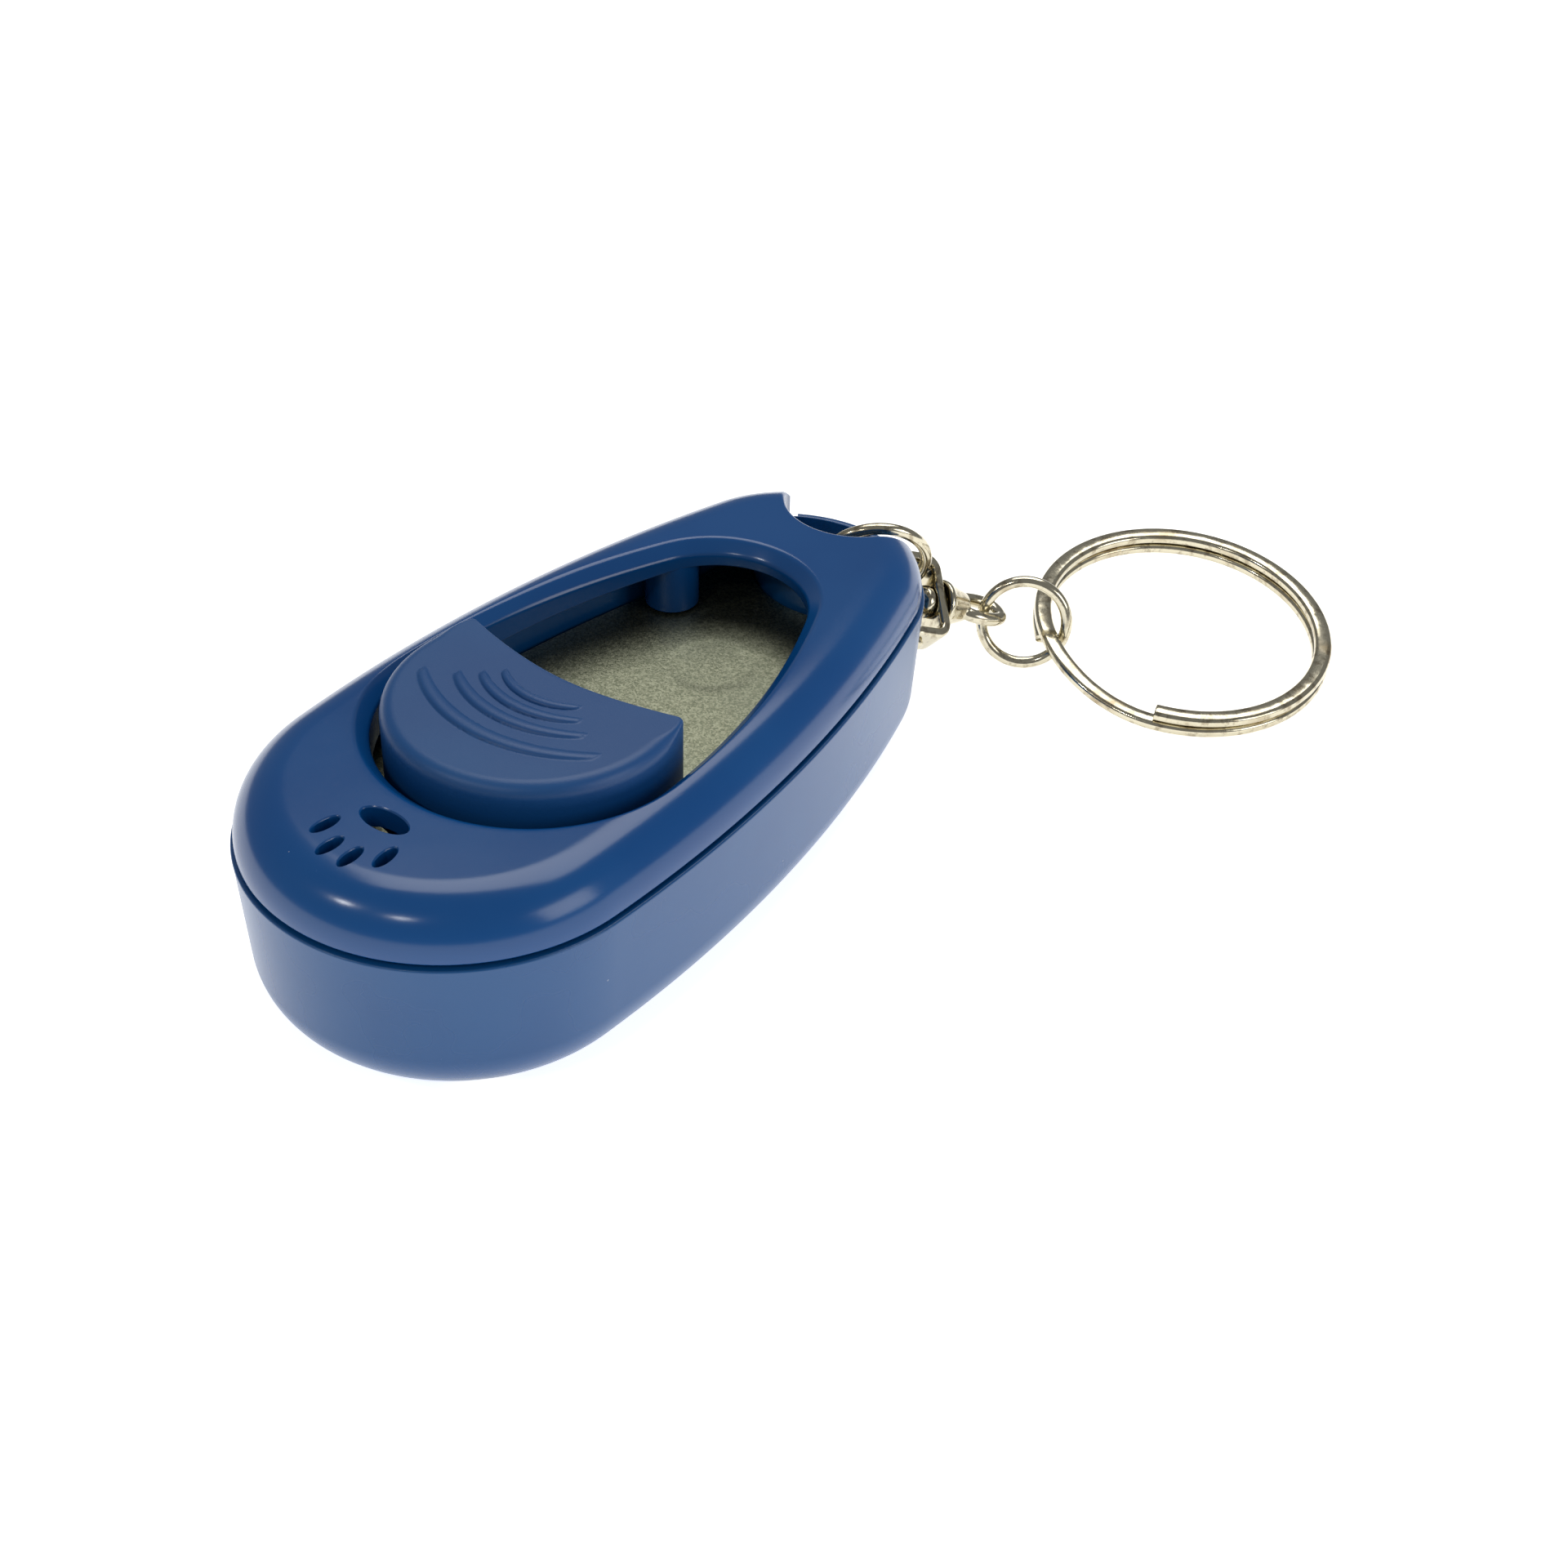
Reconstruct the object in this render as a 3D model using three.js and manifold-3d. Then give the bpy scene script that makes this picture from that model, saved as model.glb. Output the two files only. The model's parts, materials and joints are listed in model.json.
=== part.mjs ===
// A thumb-button clicker on a key chain: a two-part moulded case, a spring-steel click plate that
// shows through a window in the cover, a ribbed thumb button standing on the plate, and a jump
// ring, swivel, link ring and split ring hanging from a lug bar at the far end.
// Millimetres, +Z up, +Y towards the key chain. The origin is the middle of the case's underside.

import * as THREE from 'three';
import { mergeVertices } from 'three/addons/utils/BufferGeometryUtils.js';
import Module from 'manifold-3d';

const wasm = await Module();
wasm.setup();

// ---------------------------------------------------------------- driving dimensions

// case, seen from above: an egg of a large near arc, a small far arc and two long side arcs
const caseLength = 65.9;
const caseNearRadius = 15.95;
const caseFarRadius = 11.2;
const caseSideRadius = 119;
const caseHeight = 18;
const partingHeight = 13.6; // where the two halves meet
const partingGap = 0.3;
const trayWall = 2.0;
const trayDraft = 0.87; // how much narrower the tray is at the bottom than at the parting line
const trayEdgeRadius = 4.7;
const coverWall = 1.6;
const coverInset = 0.25; // the cover sits this far inside the tray's rim
const coverEdgeRadius = 4.0;
const lipInset = 1.2;
const lipHeight = 1.1;

// window in the cover, another egg
const windowNearRim = 11.6; // cover left at the near end of the window
const windowFarRim = 12.35;
const windowNearRadius = 13.2;
const windowFarRadius = 8.5;
const windowSideRadius = 61;
const bevelDepth = 1.0;
const bevelWidth = 1.05;
const skirtWall = 1.2;
const skirtFarHeight = 16.0; // lower edge of the skirt at the window's far end
const skirtSlope = 0.052;

// sound holes near the near end: one oval pad and four slots round it
const padFromNearEnd = 9.05;
const padRadii = [2.1, 1.0];
const toeRadii = [0.48, 1.2];

// click plate and its travel
const plateTop = 11.5;
const plateThickness = 0.6;
const plateSideGap = 0.45;
const dimpleRadius = 3.5;
const dimpleDepth = 0.2;
const clickAngle = THREE.MathUtils.degToRad(3.5);
const stopPostRadius = 1.4; // two posts that the plate's near end lands on
const stopPostX = 6;
const stopPostFromWindow = 3.5; // in from the near rim of the window

// thumb button
const buttonTop = 20.0;
const buttonSideGap = 1.0; // to the window's wall
const buttonBack = 0.25; // the button's round end is centred this far nearer than the window's
const buttonWall = 1.5;
const buttonLength = 16.1; // near tip to the corners of the hollow far edge
const buttonFarRadius = 33;
const buttonEdge = 0.9;
const cornerTrim = 0.2; // taken off each far corner
const ribHeight = 0.3;
const stakeRadius = 0.9;
const stakeSpacing = 10;
const stakeCollar = 0.8; // a stake is this much thicker in radius above the plate
const nutWidth = 1.4;
const nutThickness = 0.5;

// screws and the bosses they join
const screwRadius = 1.1;
const screwHeadRadius = 2.1;
const screwHeadHeight = 1.4;
const screwRecess = 1.1; // the heads lie this deep in the underside
const screwLength = 14.4;
const bossRadius = 2.7;
const coverPostRadius = 2.2;
const nearBossX = 8.5;
const nearBossFromEnd = 8.1;
const farBossX = 8.2;
const farBossFromEnd = 15.75;

// lug bar at the far end, the notch above it and the recess behind and below it
const notchRadius = 5.9;
const notchFromEnd = 1.8; // centre of the notch, in from the far end
const barTop = 14.4;
const barBottom = 12.3;
const barInner = 1.4; // the bar's inner face, in from the case outline
const recessRadius = 7.2;
const recessFloor = 3.5;
const recessWall = 1.2;
const recessHalfWidth = 6.6;

// chain
const lugWire = 1.0;
const lugMeanRadius = 4.4;
const linkWire = 1.0;
const linkMeanRadius = 3.65;
const slit = 0.2; // the butt joint of a closed jump ring
const yokeSpread = 7.0; // between the middles of the yoke's arms
const yokeReach = 2.8; // pin to the middle of the yoke's base
const yokeWidth = 3.2;
const yokeSheet = 0.9;
const pinRadius = 0.5;
const stemRadius = 0.8;
const eyeWire = 1.2;
const eyeReach = 7.0; // yoke base to the middle of the wire at the eye's end
const eyeTurn = THREE.MathUtils.degToRad(56); // of the eye about its stem, as it lies
const splitOuterRadius = 13;
const splitWireWidth = 1.5;
const splitWireHeight = 1.0;
const splitPitch = 1.12;
const splitStepStart = -134; // degrees round the ring, where the upper turn ends
const splitStepEnd = -70; // where the lower turn ends

// clearances
const fitGap = 0.3; // between pieces that fit into or rest on each other
const tightGap = 0.15; // in the small metal joints

// ---------------------------------------------------------------- places that follow from them

const farEnd = caseLength / 2;
const nearEnd = -caseLength / 2;
const caseEgg = {
  nearRadius: caseNearRadius,
  farRadius: caseFarRadius,
  sideRadius: caseSideRadius,
  nearY: nearEnd + caseNearRadius,
  farY: farEnd - caseFarRadius,
};
const windowEgg = {
  nearRadius: windowNearRadius,
  farRadius: windowFarRadius,
  sideRadius: windowSideRadius,
  nearY: nearEnd + windowNearRim + windowNearRadius,
  farY: farEnd - windowFarRim - windowFarRadius,
};
const trayTop = partingHeight - partingGap / 2;
const coverBottom = partingHeight + partingGap / 2;
const lipTop = trayTop + lipHeight;
const plateBottom = plateTop - plateThickness;
const notchY = farEnd - notchFromEnd;
const recessY = notchY;
const nearBossY = nearEnd + nearBossFromEnd;
const farBossY = farEnd - farBossFromEnd;
const hingeY = farBossY; // the plate turns about the line through its two clamping screws
const buttonRadius = windowNearRadius - bevelWidth - buttonSideGap;
const buttonY = windowEgg.nearY - buttonBack;
const buttonFarEdgeY = buttonY - buttonRadius + buttonLength;
const stakeY = buttonY;
const stopPostY = windowEgg.nearY - windowNearRadius + stopPostFromWindow;
const screws = [
  { name: 'case_screw_near_left', x: -nearBossX, y: nearBossY },
  { name: 'case_screw_near_right', x: nearBossX, y: nearBossY },
  { name: 'case_screw_far_left', x: -farBossX, y: farBossY },
  { name: 'case_screw_far_right', x: farBossX, y: farBossY },
];

// ---------------------------------------------------------------- materials

const shellBlue = () => new THREE.MeshStandardMaterial({ color: 0x2c4f86, roughness: 0.28, metalness: 0 });
const buttonBlue = () => new THREE.MeshStandardMaterial({ color: 0x31538b, roughness: 0.5, metalness: 0 });
const springSteel = () => new THREE.MeshStandardMaterial({ color: 0x7c806b, roughness: 0.45, metalness: 1 });
const nickel = () => new THREE.MeshStandardMaterial({ color: 0xcecdb7, roughness: 0.18, metalness: 1 });
const screwSteel = () => new THREE.MeshStandardMaterial({ color: 0x8d8f92, roughness: 0.35, metalness: 1 });

// ---------------------------------------------------------------- solids

function solid(geometry) {
  geometry.deleteAttribute('normal');
  geometry.deleteAttribute('uv');
  const merged = mergeVertices(geometry, 1e-4);
  return new wasm.Manifold(new wasm.Mesh({
    numProp: 3,
    vertProperties: new Float32Array(merged.attributes.position.array),
    triVerts: new Uint32Array(merged.index.array),
  }));
}

function toMesh(name, manifold, material) {
  const { vertProperties, triVerts } = manifold.getMesh();
  const geometry = new THREE.BufferGeometry();
  geometry.setAttribute('position', new THREE.BufferAttribute(vertProperties, 3));
  geometry.setIndex(new THREE.BufferAttribute(triVerts, 1));
  geometry.computeVertexNormals();
  const mesh = new THREE.Mesh(geometry, material);
  mesh.name = name;
  return mesh;
}

function union(pieces) {
  return pieces.reduce((whole, piece) => whole.add(piece));
}

function box(xMin, xMax, yMin, yMax, zMin, zMax) {
  const geometry = new THREE.BoxGeometry(xMax - xMin, yMax - yMin, zMax - zMin);
  geometry.translate((xMin + xMax) / 2, (yMin + yMax) / 2, (zMin + zMax) / 2);
  return solid(geometry);
}

function post(radius, x, y, zMin, zMax, sides = 20) {
  const geometry = new THREE.CylinderGeometry(radius, radius, zMax - zMin, sides);
  geometry.rotateX(Math.PI / 2);
  geometry.translate(x, y, (zMin + zMax) / 2);
  return solid(geometry);
}

function prism(shape, zMin, zMax, curveSegments = 12) {
  const geometry = new THREE.ExtrudeGeometry(shape, { depth: zMax - zMin, bevelEnabled: false, curveSegments });
  geometry.translate(0, 0, zMin);
  return solid(geometry);
}

// The egg's outline as points, all the way round and moved inwards by inset. Every inset gives the
// same number of points along the same normals, so outlines at different heights can be skinned.
function eggOutline(egg, inset = 0) {
  const toNear = egg.sideRadius - egg.nearRadius;
  const toFar = egg.sideRadius - egg.farRadius;
  const span = egg.farY - egg.nearY;
  const up = (toNear ** 2 - toFar ** 2 + span ** 2) / (2 * span);
  const across = Math.sqrt(toNear ** 2 - up ** 2);
  const nearTurn = Math.atan2(-up, across);
  const farTurn = Math.atan2(span - up, across);
  const half = [];
  const addArc = (x, y, radius, from, to, steps) => {
    for (let i = 0; i <= steps; i += 1) {
      const angle = from + ((to - from) * i) / steps;
      half.push(new THREE.Vector2(x + radius * Math.cos(angle), y + radius * Math.sin(angle)));
    }
  };
  addArc(0, egg.nearY, egg.nearRadius - inset, -Math.PI / 2, nearTurn, 9);
  half.pop();
  addArc(-across, egg.nearY + up, egg.sideRadius - inset, nearTurn, farTurn, 6);
  half.pop();
  addArc(0, egg.farY, egg.farRadius - inset, farTurn, Math.PI / 2, 8);
  const mirrored = half.slice(1, -1).reverse().map((p) => new THREE.Vector2(-p.x, p.y));
  return [...half, ...mirrored];
}

// A closed skin through outlines that have the same number of points, with flat ends.
function skin(outlines, heights) {
  const count = outlines[0].length;
  const positions = outlines.flatMap((outline, level) => outline.flatMap((p) => [p.x, p.y, heights[level]]));
  const faces = [];
  for (let level = 0; level < outlines.length - 1; level += 1) {
    for (let i = 0; i < count; i += 1) {
      const a = level * count + i;
      const b = level * count + ((i + 1) % count);
      faces.push(a, b, b + count, a, b + count, a + count);
    }
  }
  const last = (outlines.length - 1) * count;
  THREE.ShapeUtils.triangulateShape(outlines[0], []).forEach(([a, b, c]) => faces.push(a, c, b));
  THREE.ShapeUtils.triangulateShape(outlines[outlines.length - 1], [])
    .forEach(([a, b, c]) => faces.push(last + a, last + b, last + c));
  const geometry = new THREE.BufferGeometry();
  geometry.setAttribute('position', new THREE.Float32BufferAttribute(positions, 3));
  geometry.setIndex(faces);
  return solid(geometry);
}

// An egg-shaped block whose inset changes with height: levels are [height, inset] pairs.
function eggBlock(egg, levels) {
  return skin(levels.map(([, inset]) => eggOutline(egg, inset)), levels.map(([height]) => height));
}

// ---------------------------------------------------------------- case

// The tray's side, offset inwards, from its rounded bottom edge up to the given height.
function trayBlock(offset, top) {
  const radius = trayEdgeRadius - offset;
  const draftAt = (height) => trayDraft * Math.max(0, 1 - height / partingHeight);
  const levels = [];
  const steps = 5;
  for (let i = 0; i <= steps; i += 1) {
    const angle = (i / steps) * (Math.PI / 2);
    const height = offset + radius * (1 - Math.cos(angle));
    levels.push([height, offset + draftAt(height) + radius * (1 - Math.sin(angle))]);
  }
  levels.push([top, offset + draftAt(top)]);
  return eggBlock(caseEgg, levels);
}

function recessCut(zMin, zMax) {
  const inside = eggBlock(caseEgg, [[zMin, barInner], [zMax, barInner]]);
  return post(recessRadius, 0, recessY, zMin, zMax, 40).intersect(inside);
}

function lowerShell() {
  const outer = trayBlock(0, trayTop);
  const cavity = trayBlock(trayWall, trayTop + 1);
  const lip = eggBlock(caseEgg, [[trayTop - 1, lipInset], [lipTop, lipInset]])
    .subtract(eggBlock(caseEgg, [[trayTop - 2, trayWall], [lipTop + 1, trayWall]]));
  const stopTop = plateBottom - (hingeY - stopPostY) * Math.tan(clickAngle) - fitGap;
  const inside = [
    ...screws.map(({ x, y }) => post(bossRadius, x, y, trayWall - 0.5, bossTop(y))),
    ...[-1, 1].map((side) => post(stopPostRadius, side * stopPostX, stopPostY, trayWall - 0.5, stopTop)),
    post(recessRadius + recessWall, 0, recessY, 0.5, trayTop, 40),
  ];
  const withinWalls = trayBlock(0.4, trayTop);
  const bar = eggBlock(caseEgg, [[barBottom, coverInset], [barTop, coverInset]])
    .subtract(eggBlock(caseEgg, [[barBottom - 1, barInner], [barTop + 1, barInner]]))
    .intersect(box(-barHalfWidth(), barHalfWidth(), recessY - recessRadius, farEnd, barBottom, barTop));
  const opening = box(-recessHalfWidth, recessHalfWidth, recessY - 1, farEnd + 2, recessFloor, barBottom);
  let shell = outer.subtract(cavity).add(lip);
  shell = shell.add(union(inside).intersect(withinWalls));
  shell = shell.subtract(recessCut(recessFloor, lipTop + 1)).subtract(opening);
  shell = shell.add(bar);
  screws.forEach(({ x, y }) => {
    shell = shell.subtract(post(screwRadius + fitGap, x, y, 0, caseHeight));
    shell = shell.subtract(post(screwHeadRadius + fitGap, x, y, -1, screwRecess + screwHeadHeight + fitGap, 24));
  });
  return toMesh('lower_shell', shell, shellBlue());
}

function bossTop(y) {
  return y === farBossY ? plateBottom - fitGap : trayTop - fitGap / 2;
}

function barHalfWidth() {
  return notchRadius - fitGap - 0.1;
}

// The cover's outside, offset inwards, from the given height up to its rounded top edge.
function coverBlock(offset, bottom) {
  const radius = coverEdgeRadius - offset;
  const levels = [[bottom, coverInset + offset]];
  const steps = 6;
  for (let i = 0; i <= steps; i += 1) {
    const angle = (i / steps) * (Math.PI / 2);
    const height = caseHeight - offset - radius * (1 - Math.sin(angle));
    levels.push([height, coverInset + offset + radius * (1 - Math.cos(angle))]);
  }
  return eggBlock(caseEgg, levels);
}

function windowCut() {
  const over = 0.5;
  return eggBlock(windowEgg, [
    [plateBottom, bevelWidth],
    [caseHeight - bevelDepth, bevelWidth],
    [caseHeight + over, -(over * bevelWidth) / bevelDepth],
  ]);
}

// The skirt hangs below the window's edge and gets deeper towards the near end.
function windowSkirt() {
  const inset = bevelWidth - skirtWall;
  const tube = eggBlock(windowEgg, [[plateTop, inset], [caseHeight - bevelDepth, inset]]);
  const length = 2 * caseLength;
  const below = new THREE.BoxGeometry(caseLength, length, caseHeight);
  below.translate(0, 0, -caseHeight / 2);
  below.rotateX(Math.atan(skirtSlope));
  below.translate(0, windowEgg.farY + windowFarRadius - bevelWidth, skirtFarHeight);
  return tube.subtract(solid(below));
}

function ellipse(x, y, radiusX, radiusY, turn = 0) {
  const shape = new THREE.Shape();
  shape.absellipse(x, y, radiusX, radiusY, 0, 2 * Math.PI, false, turn);
  return shape;
}

function soundHoles() {
  const padY = nearEnd + padFromNearEnd;
  const toes = [[0.97, 4.3, 0.05], [2.85, 2.85, 0.12]];
  const shapes = [ellipse(0, padY, ...padRadii)];
  toes.forEach(([x, down, turn]) => {
    shapes.push(ellipse(x, padY - down, ...toeRadii, turn));
    shapes.push(ellipse(-x, padY - down, ...toeRadii, -turn));
  });
  return union(shapes.map((shape) => prism(shape, coverBottom, caseHeight + 1, 6)));
}

function topCover() {
  const ceiling = caseHeight - coverWall + 0.4;
  const posts = screws.map(({ x, y }) => post(coverPostRadius, x, y, coverPostBottom(y), ceiling));
  const recessBlock = post(recessRadius + recessWall, 0, recessY, coverBottom, ceiling, 40)
    .intersect(coverBlock(0.4, coverBottom));
  let cover = coverBlock(0, coverBottom).subtract(coverBlock(coverWall, coverBottom - 1));
  cover = union([cover, windowSkirt(), recessBlock, ...posts]);
  const rebate = eggBlock(caseEgg, [[coverBottom - 1, lipInset - fitGap], [lipTop + fitGap, lipInset - fitGap]])
    .subtract(eggBlock(caseEgg, [[coverBottom - 2, trayWall + fitGap], [lipTop + 1, trayWall + fitGap]]));
  cover = cover.subtract(rebate).subtract(windowCut()).subtract(soundHoles());
  cover = cover.subtract(post(notchRadius, 0, notchY, 0, caseHeight + 1, 48));
  screws.forEach(({ x, y }) => {
    const top = screwRecess + screwLength + fitGap;
    cover = cover.subtract(post(screwRadius + tightGap, x, y, 0, top));
  });
  return toMesh('top_cover', cover, shellBlue());
}

function coverPostBottom(y) {
  return y === farBossY ? plateTop + fitGap : trayTop + fitGap;
}

// A pan-head screw with a cross slot, head down.
function caseScrew({ name, x, y }) {
  const top = screwLength;
  const profile = [
    [0, 0], [screwHeadRadius * 0.7, 0], [screwHeadRadius, screwHeadHeight * 0.45],
    [screwHeadRadius, screwHeadHeight], [screwRadius, screwHeadHeight],
    [screwRadius, top - 1.2], [0.3, top], [0, top],
  ].map(([r, z]) => new THREE.Vector2(r, z));
  const geometry = new THREE.LatheGeometry(profile, 16);
  geometry.rotateX(Math.PI / 2);
  const slotHalf = 0.28;
  const slotLength = screwHeadRadius * 0.6;
  const slots = box(-slotLength, slotLength, -slotHalf, slotHalf, -1, 0.8)
    .add(box(-slotHalf, slotHalf, -slotLength, slotLength, -1, 0.8));
  const mesh = toMesh(name, solid(geometry).subtract(slots), screwSteel());
  mesh.position.set(x, y, screwRecess);
  return mesh;
}

// ---------------------------------------------------------------- click plate and button

function clickPlate() {
  const inset = trayWall + trayDraft * (1 - plateBottom / partingHeight) + plateSideGap;
  let plate = eggBlock(caseEgg, [[plateBottom, inset], [plateTop, inset]]);
  const nearDisc = post(windowNearRadius + 0.8, 0, windowEgg.nearY, plateBottom - 1, plateTop + 1, 56);
  const rest = box(-caseLength, caseLength, windowEgg.nearY, farEnd, plateBottom - 1, plateTop + 1);
  plate = plate.intersect(nearDisc.add(rest));
  plate = plate.subtract(post(recessRadius + recessWall + fitGap, 0, recessY, 0, caseHeight, 48));
  const dimpleY = windowEgg.farY;
  const dish = [
    [0, -dimpleDepth], [dimpleRadius * 0.5, -dimpleDepth * 0.8], [dimpleRadius, 0], [dimpleRadius, 1], [0, 1],
  ].map(([r, z]) => new THREE.Vector2(r, z));
  const dishGeometry = new THREE.LatheGeometry(dish, 24);
  dishGeometry.rotateX(Math.PI / 2);
  dishGeometry.translate(0, dimpleY, plateTop);
  plate = plate.subtract(solid(dishGeometry));
  [-farBossX, farBossX].forEach((x) => {
    plate = plate.subtract(post(screwRadius + fitGap, x, farBossY, 0, caseHeight));
  });
  [-stakeSpacing / 2, stakeSpacing / 2].forEach((x) => {
    plate = plate.subtract(post(stakeRadius + fitGap, x, stakeY, 0, caseHeight));
  });
  return toMesh('click_plate', plate, springSteel());
}

// The button seen from above: round at the near end, nearly straight sides, a hollow far edge.
function buttonOutline(inset) {
  const radius = buttonRadius - inset;
  const cornerX = radius - cornerTrim;
  const farCentreY = buttonFarEdgeY + Math.sqrt(buttonFarRadius ** 2 - buttonRadius ** 2);
  const farRadius = buttonFarRadius + inset;
  const sweep = Math.asin(cornerX / farRadius);
  const outline = [];
  const addArc = (y, arcRadius, from, to, steps) => {
    for (let i = 0; i <= steps; i += 1) {
      const angle = from + ((to - from) * i) / steps;
      outline.push(new THREE.Vector2(arcRadius * Math.cos(angle), y + arcRadius * Math.sin(angle)));
    }
  };
  addArc(buttonY, radius, Math.PI, 2 * Math.PI, 24);
  addArc(farCentreY, farRadius, -Math.PI / 2 + sweep, -Math.PI / 2 - sweep, 10);
  return outline;
}

function buttonBlock(inset, zMin, zMax) {
  return skin([buttonOutline(inset), buttonOutline(inset)], [zMin, zMax]);
}

// A raised rib: an arc bulging to the near end, half sunk into the button's top.
function gripRib({ radius, centreY, halfWidth, wire }) {
  const sweep = Math.asin(halfWidth / radius);
  const arc = new THREE.EllipseCurve(0, centreY, radius, radius, -Math.PI / 2 - sweep, -Math.PI / 2 + sweep);
  const points = arc.getPoints(9).map((p) => new THREE.Vector3(p.x, p.y, buttonTop));
  const section = ellipse(0, 0, ribHeight, wire / 2);
  const geometry = new THREE.ExtrudeGeometry(section, {
    extrudePath: new THREE.CatmullRomCurve3(points),
    steps: 10,
    curveSegments: 4,
  });
  return solid(geometry);
}

function gripRibs() {
  const ribs = [
    { radius: 13.1, centreY: 7.85, halfWidth: 8.2, wire: 1.1 },
    { radius: 10.2, centreY: 7.25, halfWidth: 6.0, wire: 1.0 },
    { radius: 8.0, centreY: 6.7, halfWidth: 4.6, wire: 0.9 },
    { radius: 5.8, centreY: 5.95, halfWidth: 3.5, wire: 0.8 },
  ];
  return union(ribs.map((rib) => gripRib({ ...rib, centreY: buttonY + rib.centreY })));
}

function thumbButton() {
  const bottom = plateTop + fitGap;
  const ceiling = buttonTop - buttonWall;
  const edge = [0, 0.3, 1].map((share) => share * buttonEdge);
  const body = skin(
    [0, ...edge].map((inset) => buttonOutline(inset)),
    [bottom, ...edge.map((inset) => buttonTop - buttonEdge + Math.sqrt(inset * (2 * buttonEdge - inset)))],
  );
  let button = body.subtract(buttonBlock(buttonWall, bottom - 1, ceiling));
  button = button.add(gripRibs());
  [-stakeSpacing / 2, stakeSpacing / 2].forEach((x) => {
    button = button.add(post(stakeRadius + stakeCollar, x, stakeY, bottom, ceiling + 0.5, 16));
    button = button.add(post(stakeRadius, x, stakeY, plateBottom - nutThickness - 1, ceiling, 16));
  });
  return toMesh('thumb_button', button, buttonBlue());
}

// A dished ring that grips a stake under the plate.
function pushNut(name, x) {
  const inner = stakeRadius + tightGap;
  const outer = inner + nutWidth;
  const top = plateBottom - fitGap;
  const profile = [
    [inner, top - nutThickness - 0.3], [outer - 0.6, top - nutThickness], [outer, top - nutThickness],
    [outer, top], [outer - 0.6, top], [inner, top - 0.3], [inner, top - nutThickness - 0.3],
  ].map(([r, z]) => new THREE.Vector2(r, z));
  const geometry = new THREE.LatheGeometry(profile, 20);
  geometry.rotateX(Math.PI / 2);
  geometry.translate(x, stakeY, 0);
  return toMesh(name, solid(geometry), springSteel());
}

// ---------------------------------------------------------------- chain

// A jump ring lying flat at the origin, with its butt joint at the given angle.
function jumpRing(name, meanRadius, wire, slitAngle) {
  const ring = solid(new THREE.TorusGeometry(meanRadius, wire / 2, 10, 32));
  const cut = new THREE.BoxGeometry(3 * wire, slit, 3 * wire);
  cut.translate(meanRadius, 0, 0);
  cut.rotateZ(slitAngle);
  return toMesh(name, ring.subtract(solid(cut)), nickel());
}

// In the swivel's own frame +X runs from the pin to the eye and +Z runs along the pin.
function along(axis, from, to, radius, sides = 16) {
  const geometry = new THREE.CylinderGeometry(radius, radius, to - from, sides);
  if (axis === 'x') {
    geometry.rotateZ(Math.PI / 2);
    geometry.translate((from + to) / 2, 0, 0);
  } else {
    geometry.rotateX(Math.PI / 2);
    geometry.translate(0, 0, (from + to) / 2);
  }
  return solid(geometry);
}

function swivelYoke() {
  const outer = yokeSpread / 2 + yokeSheet / 2;
  const inner = outer - yokeSheet;
  const end = yokeReach + yokeSheet / 2;
  const tip = -pinRadius - 0.9;
  const bend = 1.2;
  const shape = new THREE.Shape();
  shape.moveTo(tip, outer);
  shape.lineTo(end - bend, outer);
  shape.quadraticCurveTo(end, outer, end, outer - bend);
  shape.lineTo(end, -outer + bend);
  shape.quadraticCurveTo(end, -outer, end - bend, -outer);
  shape.lineTo(tip, -outer);
  shape.lineTo(tip, -inner);
  shape.lineTo(end - yokeSheet, -inner);
  shape.lineTo(end - yokeSheet, inner);
  shape.lineTo(tip, inner);
  shape.closePath();
  const geometry = new THREE.ExtrudeGeometry(shape, { depth: yokeWidth, bevelEnabled: false, curveSegments: 4 });
  geometry.translate(0, 0, -yokeWidth / 2);
  geometry.rotateX(Math.PI / 2);
  const pinHole = along('z', -outer - 1, outer + 1, pinRadius + tightGap);
  const stemHole = along('x', end - yokeSheet - 1, end + 1, stemRadius + tightGap);
  const rounded = along('x', tip - 1, end + 1, Math.hypot(outer, yokeWidth / 2) - 0.35, 32);
  return toMesh('swivel_yoke', solid(geometry).intersect(rounded).subtract(pinHole).subtract(stemHole), nickel());
}

function yokePin() {
  const outer = yokeSpread / 2 + yokeSheet / 2;
  const shank = along('z', -outer - tightGap - 0.3, outer + tightGap + 0.3, pinRadius);
  const heads = [-1, 1].map((side) => {
    const from = side * (outer + tightGap);
    const to = side * (outer + tightGap + 0.55);
    return along('z', Math.min(from, to), Math.max(from, to), pinRadius + 0.35);
  });
  return toMesh('yoke_pin', union([shank, ...heads]), nickel());
}

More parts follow.
